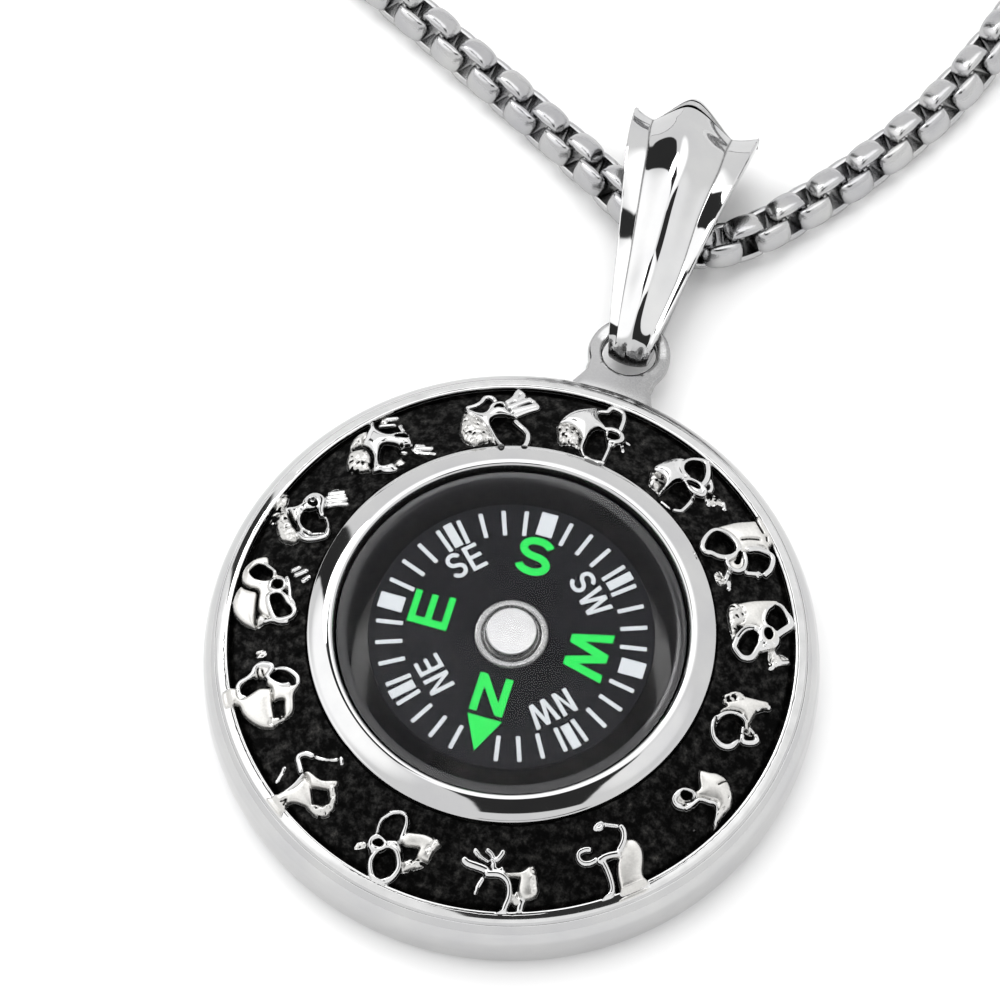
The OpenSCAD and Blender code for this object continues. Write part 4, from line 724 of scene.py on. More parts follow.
def skull_band():
    th = np.arange(N_AROUND) * 2 * math.pi / N_AROUND
    n_r = len(R_STEPS)
    T, R = np.meshgrid(th, R_STEPS, indexing="ij")
    X, Y = R * np.cos(T), R * np.sin(T)
    cell = 0.055
    speck = blur(rng.standard_normal(T.shape), 1.3, 1.3)
    speck /= speck.std()
    lump = blur(rng.standard_normal(T.shape), 4.0, 4.0)
    lump /= lump.std()
    swell = blur(rng.standard_normal(T.shape), 12.0, 12.0)
    swell /= swell.std()
    ground = 0.014 * speck + 0.055 * np.maximum(lump, -0.1) + 0.035 * swell
    ground -= ground.min()
    ground *= smooth01((18.1 - R) / 0.3) * smooth01((R - 13.12) / 0.1)
    H = ground.copy()
    M = np.zeros(T.shape)
    A = np.zeros(T.shape)          # satin faces
    for angle, shapes in SKULLS:
        a0 = math.radians(angle)
        half = int(4.1 / 13.1 / (2 * math.pi) * N_AROUND)
        mid = int(round(a0 / (2 * math.pi) * N_AROUND))
        idx = (np.arange(mid - half, mid + half + 1)) % N_AROUND
        x, y = X[idx], Y[idx]
        h, m, satin = H[idx], M[idx], A[idx]
        rr = R[idx]
        sp, lu = speck[idx], lump[idx]
        for kind, high, wide, pts in shapes:
            u, r = np.array(pts).T
            closed = kind in ("polished", "flat", "rough", "hole", "ring")
            level = {"polished": high - 0.2, "flat": high - 0.1, "rough": high - 0.25, "hole": 0.75, "groove": high, "ridge": high, "ring": high}[kind]
            t = a0 - u / 15.8
            q = np.c_[r * np.cos(t), r * np.sin(t)] + LEAN * (level - 0.5)
            q = spline(q, 4, closed)
            d, inside = away(x, y, q, closed)
            if kind in ("polished", "flat", "rough"):
                rise = np.sin(0.5 * math.pi * np.clip((np.where(inside, d, -d) + 0.085) / 0.21, 0, 1)) ** 0.8
                deep = np.where(inside, d, 0)
                t_in = np.clip(deep / max(deep.max(), 1e-6), 0, 1)
                bulge = np.clip(blur(np.sqrt(1 - (1 - t_in) ** 2), 3.2, 3.2), 0, 1)
                low = max(high - 0.36, 0.35 * high)
                if kind == "polished":
                    new = rise * (low + (0.42 + wide) * bulge)
                    shine = smooth01((rise - 0.5) / 0.2)
                elif kind == "flat":
                    new = rise * (high - 0.14 + (0.1 + wide) * bulge + 0.21 * np.clip(rr - r.mean(), -1.3, 1.3))
                    shine = smooth01((rise - 0.5) / 0.2)
                else:
                    new = rise * (low + (0.34 + wide) * bulge + 0.045 * sp + 0.035 * lu)
                    shine = smooth01((0.78 + 0.42 * sp + 0.25 * lu) / 0.5) * smooth01((rise - 0.45) / 0.2)
                over = new >= h - 0.02
                if kind == "rough":        # it also roughens whatever it lies on
                    new = np.where(inside, np.maximum(new, h - 0.05 + 0.05 * sp + 0.03 * lu), new)
                    over |= inside
                m = np.where(over, np.maximum(shine, m * (rise < 0.5)), m)
                satin = np.where(over & (rise > 0.4), {"polished": 0.0, "flat": 1.0, "rough": 0.8}[kind], satin)
                h = np.where(inside & (kind == "rough"), new, np.maximum(h, new))
            elif kind == "hole":
                cut = smooth01((np.where(inside, d, -d) + 0.02) / 0.13)
                h = h * (1 - cut) + cut * np.minimum(h, 0.05 + 0.02 * sp)
                m = m * (1 - smooth01((np.where(inside, d, -d) + 0.05) / 0.06))
            elif kind == "groove":
                cut = np.exp(-(d / (0.75 * wide + 0.02)) ** 2)
                h = h - 0.26 * cut * (h > 0.3)
                m = m * (1 - smooth01((cut - 0.3) / 0.4))
            else:
                half_w = wide * 1.3 + 0.01
                new = (high - 0.10 * (d / half_w) ** 2) * (1 - smooth01((d - half_w * 0.8) / 0.13))
                m = np.where(new >= h - 0.05, np.maximum(m, 1 - smooth01((d - half_w * 0.85) / 0.06)), m)
                satin = np.where((new >= h) & (d < half_w), 0.0, satin)
                h = np.maximum(h, new)
        H[idx], M[idx], A[idx] = h, m, satin
    H = blur(H, 0.55, 0.55)
    M = blur(M, 0.5, 0.5)
    A = blur(A, 1.0, 1.0)
    # the thin lip inside the rim, and the rim's first slope
    lip_r = spline([(18.14, 5.06), (18.19, 5.1), (18.22, 5.38), (18.25, 5.56), (18.29, 5.64), (18.35, 5.668), (18.42, 5.66), (18.52, 5.63), (18.64, 5.583), (18.76, 5.522), (18.86, 5.46), (RIM_R, RIM_Z)], 8)
    lip_z = np.interp(R, lip_r[:, 0], lip_r[:, 1])
    # a fine groove just outside the lip's crest, open in some places and polished out in others; where open it is also
    # painted dark through the polish mask, a painted dark reflection and shade
    open_ = blur(rng.standard_normal((N_AROUND, 1)), 22.0, 0.3)
    open_ = smooth01(open_ / open_.std() * 0.6 + 0.62)
    seam = np.exp(-((R - 18.475 - 0.01 * speck) / 0.026) ** 2) * open_
    lip_z = lip_z - 0.02 * seam
    skull_top = floor_z(np.minimum(R, 18.2)) + H
    Z = np.where(R < 18.14, skull_top, np.maximum(lip_z, skull_top - smooth01((R - 18.25) / 0.4) * 0.6))
    bare = skull_top - smooth01((R - 18.25) / 0.4) * 0.6 < lip_z + 0.02
    # the bare lip is polished, darkened along the open seam as painted dark reflection and shade
    M = np.where((R > 18.21) & bare, 1 - 0.95 * seam, np.where(R > 18.21, np.maximum(M, 0.0), M))
    Z[:, -1] = RIM_Z
    A = np.where((R > 18.2) & bare, 0, A)
    return T, R, X, Y, Z, M, A


def band_pieces(count=3):
    T, R, X, Y, Z, M, A = skull_band()
    n_r = len(R_STEPS)
    per = N_AROUND // count
    start = int(round(math.radians(128.5) / (2 * math.pi) * N_AROUND))
    for c in range(count):
        rows = (start + c * per + np.arange(per + 1)) % N_AROUND
        top = np.stack([X[rows], Y[rows], Z[rows]], -1).reshape(-1, 3)
        n = len(rows)
        i, j = np.meshgrid(np.arange(n - 1), np.arange(n_r - 1), indexing="ij")
        i, j = i.ravel(), j.ravel()
        quads = [np.c_[i * n_r + j, (i + 1) * n_r + j, (i + 1) * n_r + j + 1, i * n_r + j + 1]]
        base = len(top)
        under_r = np.array([R_STEPS[0], R_STEPS[-1]])
        under_z = np.array([6.9, 4.6])
        a = T[rows, 0]
        low = np.stack([np.outer(np.cos(a), under_r), np.outer(np.sin(a), under_r), np.tile(under_z, (n, 1))], -1).reshape(-1, 3)
        k = np.arange(n - 1)
        lo_in, lo_out = base + 2 * k, base + 2 * k + 1
        quads.append(np.c_[lo_in, lo_out, lo_out + 2, lo_in + 2])
        quads.append(np.c_[k * n_r, lo_in, lo_in + 2, (k + 1) * n_r])
        quads.append(np.c_[k * n_r + n_r - 1, (k + 1) * n_r + n_r - 1, lo_out + 2, lo_out])
        end_a = np.r_[np.arange(n_r), base + 1, base][None, :]
        s = (n - 1) * n_r
        end_b = np.r_[np.arange(s + n_r - 1, s - 1, -1), base + 2 * (n - 1), base + 2 * (n - 1) + 1][None, :]
        v = np.concatenate([top, low])
        m, satin = (np.concatenate([g[rows].ravel(), np.zeros(len(low))]) for g in (M, A))
        piece("skull_band_%d" % (c + 1), v, [np.concatenate(quads), end_a, end_b], case_relief, stands_for=("case",), crease=75, values={"polish": m, "satin": satin})


band_pieces()


def eyelet():
    """The flat ring that the bail hangs in, with its short neck into the rim."""
    cy = 23.7
    n = 144
    phi = np.arange(n) * 2 * math.pi / n
    # distance from the hole's centre to the outline, going round
    out = np.full(n, 2.75)
    for i, p in enumerate(phi):
        dx, dy = math.cos(p), math.sin(p)
        for r in np.arange(2.0, 6.0, 0.01):
            x, y = r * dx, cy + r * dy
            ring = r < 2.75
            t = np.clip((22.9 - y) / 3.2, 0, 1)
            neck = y < 22.9 and abs(x) < 2.3 - 0.15 * t + 2.2 * t ** 3.2
            if not (ring or neck) or math.hypot(x, y) < 19.3:
                out[i] = r
                break
    w = np.exp(-0.5 * (np.arange(-6, 7) / 1.6) ** 2)
    w /= w.sum()
    out = sum(w[k + 6] * np.roll(out, k) for k in range(-6, 7))
    lo, hi, hole = 1.6, 3.0, 1.8
    rows = []
    e = 0.42
    for a in np.linspace(0, 90, 6):
        rows.append((-e + e * math.sin(math.radians(a)), 0, hi - e + e * math.cos(math.radians(a))))   # outer top edge
    for a in np.linspace(90, 180, 6):
        rows.append((-e + e * math.sin(math.radians(a)), 0, lo + e + e * math.cos(math.radians(a))))
    outer = rows
    g = 0.22
    inner = []
    for a in np.linspace(180, 90, 5):
        inner.append((g - g * math.sin(math.radians(a)), lo + g + g * math.cos(math.radians(a))))
    for a in np.linspace(90, 0, 5):
        inner.append((g - g * math.sin(math.radians(a)), hi - g + g * math.cos(math.radians(a))))
    rings = []
    for i, p in enumerate(phi):
        ring = [(out[i] + d, z) for d, _, z in outer]
        ring += [(hole + d, z) for d, z in inner]
        crown = [(hole + (out[i] - e - hole) * t, hi + 0.05 * math.sin(math.pi * t)) for t in (0.2, 0.4, 0.6, 0.8)]
        ring += crown
        pts = []
        for r, z in ring:
            y = cy + r * math.sin(p)
            # the top falls away from the case
            fall = 0.27 * (22.0 - y) if y < 23.9 else -0.513 - 0.10 * (1 - math.exp(-(y - 23.9) / 0.4))
            pts.append((r * math.cos(p), y, z + fall * (z - lo) / (hi - lo)))
        rings.append(pts)
    v, f = grid_tube(rings)
    # painted shade: darker and duller towards the right, and painted shade in the hole
    far = np.hypot(v[:, 0], v[:, 1] - cy)
    painted_shade_and_marks = np.maximum(0.14 + 0.20 * smooth01((v[:, 0] + 1.2) / 2.6), 0.85 * (far < hole + 0.06))
    piece("eyelet", v, f, case_steel, stands_for=("case",), crease=60, values={"painted_shade_and_marks": painted_shade_and_marks})


eyelet()


# ---------------------------------------------------------------- compass

def compass_parts():
    cup = [(0, 1.36), (8, 1.36), (10.9, 1.36), (11.12, 1.45), (11.2, 1.7), (11.2, 7.72), (11.14, 7.79), (10.65, 7.79), (10.56, 7.72), (10.55, 7.4), (10.55, 2.5), (10.3, 2.1), (8, 2.02), (0, 2.0)]
    v, f = lathe(cup, 160)
    piece("capsule_cup", v, f, black_plastic, stands_for=("capsule",), crease=40)
    edge = spline([(11.2, 7.85), (11.2, 7.95), (11.16, 8.08), (11.06, 8.17), (10.92, 8.2)], 4)
    v, f = lathe(join_paths([(0, 7.85), (6, 7.85), (11.0, 7.85), (11.2, 7.85)], edge, [(10.92, 8.2), (6, 8.2), (0, 8.2)]), 192)
    piece("lens_glass", v, f, clear_lens, stands_for=("lens",), crease=40)
    c = 7.1
    hub = join_paths(
        [(0, c - 0.2), (0.12, c - 0.2), (0.75, c - 0.9), (1.2, c - 0.9), (1.2, c + 0.01), (2.32, c + 0.01)],
        spline([(2.32, c + 0.01), (2.38, c + 0.06), (2.39, c + 0.14), (2.35, c + 0.21), (2.26, c + 0.25), (2.12, c + 0.26), (1.97, c + 0.24), (1.9, c + 0.2)], 3),
        spline([(1.9, c + 0.2), (1.84, c + 0.13), (1.76, c + 0.1), (1.7, c + 0.12), (1.675, c + 0.25), (1.66, c + 0.55), (1.635, c + 0.63), (1.57, c + 0.675), (1.4, c + 0.68)], 3),
        [(1.4, c + 0.68), (0.7, c + 0.682), (0, c + 0.683)])
    v, f = lathe(hub, 128)
    out = np.hypot(v[:, 0], v[:, 1])
    # painted shade: the top disc's side, the groove and the outer ring are painted darker
    piece("hub_turned", v, f, hub_metal, body="card", stands_for=("dial_hub",), crease=40, values={"painted_shade_and_marks": 0.34 * smooth01((out - 1.63) / 0.06)})
    card = [(0, c - 0.3), (5, c - 0.3), (9.15, c - 0.3), (9.2, c - 0.25), (9.2, c - 0.05), (9.15, c), (5, c), (0, c)]
    v, f = lathe(card, 192)
    piece("card_disc", v, f, card_black, body="card", stands_for=("dial_card",), crease=40)


compass_parts()

INK = 0.014


def prism(outline, z0, z1):
    """A closed flat prism from one outline, as (verts, sides, cap polygons)."""
    q = np.asarray(outline, float)
    n = len(q)
    v = np.r_[np.c_[q, np.full(n, z0)], np.c_[q, np.full(n, z1)]]
    k = np.arange(n)
    area = 0.5 * np.sum(q[:, 0] * np.roll(q[:, 1], -1) - np.roll(q[:, 0], -1) * q[:, 1])
    sides = np.c_[k, (k + 1) % n, (k + 1) % n + n, k + n]
    if area < 0:
        sides = sides[:, ::-1]
        caps = [k[None, :], (k[::-1] + n)[None, :]]
    else:
        caps = [k[::-1][None, :], (k + n)[None, :]]
    return v, [sides] + caps


def stroke(points, width):
    """Outline of a line of even width, mitred at its bends and square at its ends."""
    p = np.asarray(points, float)
    d = np.diff(p, axis=0)
    d /= np.linalg.norm(d, axis=1)[:, None]
    nrm = np.c_[-d[:, 1], d[:, 0]]
    left, right = [], []
    for i in range(len(p)):
        a = nrm[max(i - 1, 0)]
        b = nrm[min(i, len(nrm) - 1)]
        m = a + b
        m = m / np.linalg.norm(m)
        k = width / 2 / max(m @ a, 0.35)
        left.append(p[i] + m * k)
        right.append(p[i] - m * k)
    return np.array(left + right[::-1])


def letter_s(x0, x1, y0, y1, w):
    """An S within the box: two bowls on one line."""
    cx, h = (x0 + x1) / 2, y1 - y0
    rx = (x1 - x0 - w) / 2
    ry = (h - w) / 4
    top, low = y1 - w / 2 - ry, y0 + w / 2 + ry
    line = []
    for a in np.linspace(18, 90, 7):
        line.append((cx + rx * math.cos(math.radians(a)), top + ry * math.sin(math.radians(a))))
    for a in np.linspace(105, 250, 12):
        line.append((cx + rx * 0.97 * math.cos(math.radians(a)), top + ry * math.sin(math.radians(a))))
    for a in np.linspace(70, -75, 12):
        line.append((cx + rx * 1.0 * math.cos(math.radians(a)), low + ry * math.sin(math.radians(a))))
    for a in np.linspace(-90, -165, 7):
        line.append((cx + rx * math.cos(math.radians(a)), low + ry * math.sin(math.radians(a))))
    return stroke(line, w)


def letter_e(x0, x1, y0, y1, stem, arm):
    m0, m1 = (y0 + y1) / 2 - arm / 2 + 0.03, (y0 + y1) / 2 + arm / 2 + 0.03
    xm = x1 - 0.12 * (x1 - x0) / 2.35
    return [(x0, y0), (x1, y0), (x1, y0 + arm), (x0 + stem, y0 + arm), (x0 + stem, m0), (xm, m0), (xm, m1), (x0 + stem, m1),
            (x0 + stem, y1 - arm), (x1 - 0.05, y1 - arm), (x1 - 0.05, y1), (x0, y1)]


def letter_n(x0, x1, y0, y1, stem):
    k = stem * 1.12
    return [(x0, y0), (x0 + stem, y0), (x0 + stem, y1 - 1.55 * k), (x1 - stem, y0), (x1, y0), (x1, y1), (x1 - stem, y1), (x1 - stem, y0 + 1.55 * k), (x0 + stem, y1), (x0, y1)]


def letter_w(x0, x1, y0, y1, w):
    """Four slanting strokes with flat tops and feet."""
    wd = x1 - x0
    xs = [x0, x0 + 0.27 * wd, x0 + 0.5 * wd, x1 - 0.27 * wd, x1]
    k = w * 0.56
    top = [(xs[0], y1), (xs[0] + 2 * k, y1), (xs[1], y0 + 1.9 * w), (xs[2] - k, y1), (xs[2] + k, y1), (xs[3], y0 + 1.9 * w), (xs[4] - 2 * k, y1), (xs[4], y1)]
    low = [(xs[3] + k, y0), (xs[3] - k, y0), (xs[2], y1 - 1.9 * w), (xs[1] + k, y0), (xs[1] - k, y0)]
    return top + low


def turned(outline, angle):
    """From a letter's own frame (x right, y outward) to the dial, at the angle given in degrees."""
    a = math.radians(angle)
    q = np.asarray(outline, float)
    e_y = np.array([math.cos(a), math.sin(a)])
    e_x = np.array([math.sin(a), -math.cos(a)])
    return q[:, :1] * e_x + q[:, 1:2] * e_y


def dial_print():
    z0, z1 = 7.1 - 0.02, 7.1 + INK
    south = 92.7
    white, green = [], []

    def box(x, w, r0, r1):
        return [(x - w / 2, r0), (x + w / 2, r0), (x + w / 2, r1), (x - w / 2, r1)]

    for k in range(36):
        a = south - 10 * k
        if k in (0, 9, 27):
            white.append(turned(box(0, 1.08, 7.22, 8.86), a))
        elif k != 18:
            white.append(turned(box(0, 0.28, 7.0, 8.72), a))
    for k in (4.5, 13.5, 22.5, 31.5):
        a = south - 10 * k
        white.append(turned(box(0, 0.6, 7.05, 8.8), a))
    sw, w, nw, n, ne, e, se = (south - 45 * k for k in range(1, 8))
    green.append(turned(letter_s(-1.28, 1.02, 4.35, 7.05, 0.5), south))
    green.append(turned(letter_e(-0.95, 1.4, 4.1, 6.75, 0.5, 0.43), e))
    green.append(turned(letter_w(-1.85, 1.6, 3.72, 6.37, 0.5), w))
    green.append(turned(letter_n(-1.05, 1.15, 3.0, 5.65, 0.5), n))
    green.append(turned([(-1.15, 5.95), (1.15, 5.95), (0, 8.3)], n))
    white.append(turned(letter_s(-1.65, -0.5, 4.95, 6.65, 0.27), sw))
    white.append(turned(letter_w(-0.35, 1.45, 4.95, 6.65, 0.27), sw))
    white.append(turned(letter_n(-1.3, -0.25, 4.85, 6.55, 0.28), nw))
    white.append(turned(letter_w(-0.05, 1.7, 4.85, 6.55, 0.27), nw))
    white.append(turned(letter_n(-1.3, -0.15, 4.8, 6.5, 0.28), ne))
    white.append(turned(letter_e(0.15, 1.2, 4.8, 6.5, 0.28, 0.26), ne))
    white.append(turned(letter_s(-1.35, -0.25, 5.05, 6.85, 0.27), se))
    white.append(turned(letter_e(0.0, 1.05, 5.05, 6.85, 0.28, 0.26), se))
    for name, shapes, ink in (("print_white", white, white_ink), ("print_green", green, green_ink)):
        vs, faces, base = [], {}, 0
        for q in shapes:
            v, fs = prism(q, z0, z1)
            vs.append(v)
            for f in fs:
                faces.setdefault(f.shape[1], []).append(f + base)
            base += len(v)
        piece(name, np.concatenate(vs), [np.concatenate(f) for f in faces.values()], ink, body="card", crease=30)


dial_print()


# ---------------------------------------------------------------- bail

# Stations round the bail's loop: y, z, half width, ridge, wing, wall (mm)
BAIL = np.array([
    [23.30, 2.40, 1.35, 0.00, 0.00, 0.75], [23.65, 3.50, 1.45, 0.08, 0.00, 0.75],
    [24.60, 4.00, 1.66, 0.30, 0.05, 0.75], [27.00, 4.35, 2.13, 0.60, 0.10, 0.75],
    [30.00, 4.72, 2.66, 0.75, 0.14, 0.75], [33.00, 5.42, 3.22, 0.92, 0.18, 0.80],
    [35.60, 5.80, 3.72, 1.08, 0.24, 0.80], [37.80, 5.55, 4.10, 1.26, 0.34, 0.80],
    [39.40, 4.74, 4.30, 1.60, 0.50, 0.80], [40.15, 4.22, 4.36, 1.92, 0.56, 0.80],
    [40.27, 4.10, 4.36, 1.97, 0.56, 0.80], [40.64, 3.50, 4.28, 2.00, 0.46, 0.80],
    [40.78, 2.70, 4.05, 1.35, 0.25, 0.80], [40.20, 1.60, 3.50, 0.50, 0.05, 0.80],
    [38.80, 0.55, 2.90, 0.00, 0.00, 0.75], [34.50, 0.06, 2.40, 0.00, 0.00, 0.72],
    [29.00, 0.08, 1.85, 0.00, 0.00, 0.72], [25.30, 0.40, 1.45, 0.00, 0.00, 0.72],
    [23.75, 1.25, 1.30, 0.00, 0.00, 0.75]])
EYE_Y, BAIL_LEAN = 23.7, math.radians(3.2)
VALLEY = 0.63


def bail():
    per = 12
    rows = spline(BAIL, per, closed=True)
    n = len(rows)
    ahead = np.roll(rows, -1, axis=0)[:, :2] - np.roll(rows, 1, axis=0)[:, :2]
    ahead /= np.linalg.norm(ahead, axis=1)[:, None]
    out = np.c_[-ahead[:, 1], ahead[:, 0]]
    # across: finer where the flutes turn
    s = np.array(sorted(set(np.round(np.concatenate([
        np.linspace(-1, 1, 41), [g * x for g in (-1, 1) for x in (0.025, 0.075, 0.125, 0.6, 0.615, 0.63, 0.645, 0.66, 0.97)]]), 4))))
    a = np.abs(s)
    k = 0.24
    reach = math.hypot(VALLEY, k) - k
    ridge = np.clip(1 - (np.hypot(a, k) - k) / reach, 0, 1) ** 1.2
    wing = np.clip((a - VALLEY) / (1 - VALLEY), 0, 1) ** 1.5
    groove = np.exp(-((a - VALLEY) / 0.014) ** 2)
    wander = np.interp(np.arange(len(s)), np.arange(0, len(s) + 3, 3), rng.normal(0, 1, len(np.arange(0, len(s) + 3, 3))))
    rings, painted_shade_rows = [], []
    for i in range(n):
        y, z, hw, rg, wg, wall = rows[i]
        rg, wg = max(rg, 0), max(wg, 0)
        st = i / per
        # the right wing stands higher low down, and small lobes close the lower end
        lift = np.where(s > 0, 1 + 1.2 * float(smooth01((34 - y) / 4)), 1.0)
        claw = math.exp(-((st - 0.8) / 0.34) ** 2) if st < 4 else 0.0
        lobes = claw * (0.085 * np.sin(9.0 * s + 0.8) + 0.05 * np.sin(19 * s + 2.0)) * np.clip((1 - a) / 0.1, 0, 1)
        top = rg * ridge + wg * wing * lift - 0.03 * groove * min(1.0, rg) + lobes
        inner = 0.8 * (rg * ridge + wg * wing) - wall
        # the turn through the eyelet is rounded across
        round_off = math.exp(-(min(st, 19 - st) / 0.85) ** 2)
        top = top + 0.38 * (1 - a ** 2) * round_off
        # the right valley runs closer to the edge low down, and the ridge swings left at the top
        right = VALLEY + 0.13 * float(smooth01((34 - y) / 6))
        u = np.where(s > VALLEY, right + (s - VALLEY) / (1 - VALLEY) * (1 - right), np.where(s > 0, s * right / VALLEY, s))
        u = u - 0.13 * float(smooth01((y - 36.5) / 3)) * (1 - a)
        e = 0.13
        hi_l, lo_l = top[0], inner[0]
        # outer face from right to left, rounded edge, inner face back again
        face = [(u[j] * hw, top[j]) for j in range(len(s) - 1, -1, -1)]
        face[0] = (hw - e, top[-1] - 0.02)
        face[-1] = (-hw + e, top[0] - 0.02)
        left = [(-hw + e * 0.3, hi_l - e * 0.35), (-hw, hi_l - e), (-hw, lo_l + e), (-hw + e * 0.3, lo_l + e * 0.3)]
        back = [(u[j] * hw, inner[j]) for j in range(len(s))]
        back[0] = (-hw + e, lo_l)
        back[-1] = (hw - e, lo_l)
        far = [(hw - e * 0.3, lo_l + e * 0.3), (hw, lo_l + e), (hw, hi_l - e), (hw - e * 0.3, hi_l - e * 0.35)]
        rings.append([(x, y + out[i, 0] * h, z + out[i, 1] * h) for x, h in face + left + back + far])
        # painted shade: a dark line along each valley, a dark band round the fold at the top turn, dark hollows
        # between the lower lobes, a dark band where the bail turns through the eyelet, and the inner face a little
        # darker
        fold = np.exp(-((st - 9.55 - 0.15 * wander) / 0.4) ** 2) * (0.62 + 0.3 * wander)
        painted_shade_and_marks = np.maximum(0.75 * groove * min(1.0, 1.2 * rg), np.where(a < 0.95, fold, 0))
        painted_shade_and_marks = np.maximum(painted_shade_and_marks, claw * np.clip(0.35 - 6.0 * lobes / max(claw, 1e-3) * 0.8, 0, 0.85))
        turn = max(math.exp(-((st - 18.9) / 0.6) ** 4), math.exp(-((st + 0.1) / 0.6) ** 4))
        painted_shade_and_marks = np.maximum(painted_shade_and_marks, 0.95 * turn)
        painted_shade_rows.append(np.r_[painted_shade_and_marks[::-1], np.zeros(4), np.full(len(s), 0.25), np.zeros(4)])
    v, f = grid_tube(rings)
    c, sn = math.cos(BAIL_LEAN), math.sin(BAIL_LEAN)
    x, y = v[:, 0].copy(), v[:, 1] - EYE_Y
    v[:, 0] = c * x - sn * y
    v[:, 1] = EYE_Y + sn * x + c * y
    return piece("bail_fluted", v, f, bail_steel, stands_for=("bail",), crease=24, values={"painted_shade_and_marks": np.clip(np.concatenate(painted_shade_rows), 0, 1)})


bail()


# ---------------------------------------------------------------- chain

ROUTE = np.array([
    [-55.8, 214.6, 1.52], [-38, 202, 1.52], [-19, 181, 1.52], [-4, 158, 1.52], [8, 133, 1.52], [16, 107, 1.52],
    [19, 82, 1.52], [17, 59, 1.52], [13.7, 48.5, 1.52], [10.2, 42.2, 1.53], [7, 37.6, 1.75], [4.6, 34.6, 2.25],
    [2.2, 32.9, 2.46], [-0.8, 32.9, 2.46], [-3.7, 34.4, 2.44], [-6.8, 36.2, 2.05], [-10.5, 38.2, 1.6], [-17, 41.3, 1.52],
    [-26, 45.4, 1.52], [-48, 54.5, 1.52], [-72, 62, 1.52], [-96, 71.5, 1.52], [-118, 86, 1.52], [-135, 106, 1.52],
    [-145, 131, 1.52], [-147, 157, 1.52], [-141, 183, 1.52], [-127, 205, 1.52], [-106, 219, 1.52], [-84, 222.5, 1.52],
    [-72, 221.2, 1.52]])
LINKS = 307


def route_points(per=60):
    g = np.linalg.norm(np.diff(ROUTE, axis=0), axis=1)
    n = len(ROUTE)
    way = np.zeros_like(ROUTE)
    for i in range(n):
        if i == 0:
            way[i] = (ROUTE[1] - ROUTE[0]) / g[0]
        elif i == n - 1:
            way[i] = (ROUTE[i] - ROUTE[i - 1]) / g[-1]
        else:
            a, b = g[i - 1], g[i]
            way[i] = ((ROUTE[i + 1] - ROUTE[i]) / b * a + (ROUTE[i] - ROUTE[i - 1]) / a * b) / (a + b)
    out = []
    for i in range(n - 1):
        for t in np.arange(per) / per:
            h1, h2, h3, h4 = 2 * t ** 3 - 3 * t * t + 1, t ** 3 - 2 * t * t + t, 3 * t * t - 2 * t ** 3, t ** 3 - t * t
            out.append(h1 * ROUTE[i] + h2 * g[i] * way[i] + h3 * ROUTE[i + 1] + h4 * g[i] * way[i + 1])
    out.append(ROUTE[-1])
    return np.array(out)


def link_mesh(around, across):
    """One box link about the origin: its loop lies in x (along the chain) and y, its band is wide in z."""
    hx, hy, cr = 1.45 - 0.275, 1.40 - 0.275, 0.52
    path = []
    arcs = max(3, around // 8)
    for cx, cy, a0 in ((hx - cr, hy - cr, 0), (-hx + cr, hy - cr, 90), (-hx + cr, -hy + cr, 180), (hx - cr, -hy + cr, 270)):
        for a in np.linspace(a0, a0 + 90, arcs + 1):
            a = math.radians(a)
            path.append((cx + cr * math.cos(a), cy + cr * math.sin(a), math.cos(a), math.sin(a)))
    # extra stations along the straight stretches
    full = []
    for i, p in enumerate(path):
        q = path[(i + 1) % len(path)]
        full.append(p)
        gap = math.hypot(q[0] - p[0], q[1] - p[1])
        extra = int(gap / 0.35) if around > 20 else (1 if gap > 0.5 else 0)
        for k in range(extra):
            t = (k + 1) / (extra + 1)
            full.append((p[0] + (q[0] - p[0]) * t, p[1] + (q[1] - p[1]) * t, p[2], p[3]))
    rings = []
    for x, y, nx, ny in full:
        side = smooth01((abs(y) - 0.55) / 0.5)           # 1 on the long legs, 0 at the two ends
        half = 0.72 + 0.18 * side * (1 - 0.5 * (x / 1.2) ** 2)
        belly = 0.11 * side * max(0.0, 1 - (x / 1.1) ** 2)
        o, e = 0.275, 0.15
        sec = []
        for t in np.linspace(-1, 1, across):
            w = t * (half - e)
            sec.append((w, o - 0.03 * 0 + belly - 0.10 * t * t))
        sec.append((half - 0.03, o - 0.10 - e * 0.45))
        sec.append((half, o - 0.10 - e * 1.25))
        sec.append((half, -o + e))
        sec.append((half - 0.6 * e, -o))
        if across > 4:
            sec.append((0.0, -o - 0.0))
        sec.append((-half + 0.6 * e, -o))
        sec.append((-half, -o + e))
        sec.append((-half, o - 0.10 - e * 1.25))
        sec.append((-half + 0.03, o - 0.10 - e * 0.45))
        rings.append([(x + nx * h, y + ny * h, w) for w, h in sec])
    return grid_tube(rings)


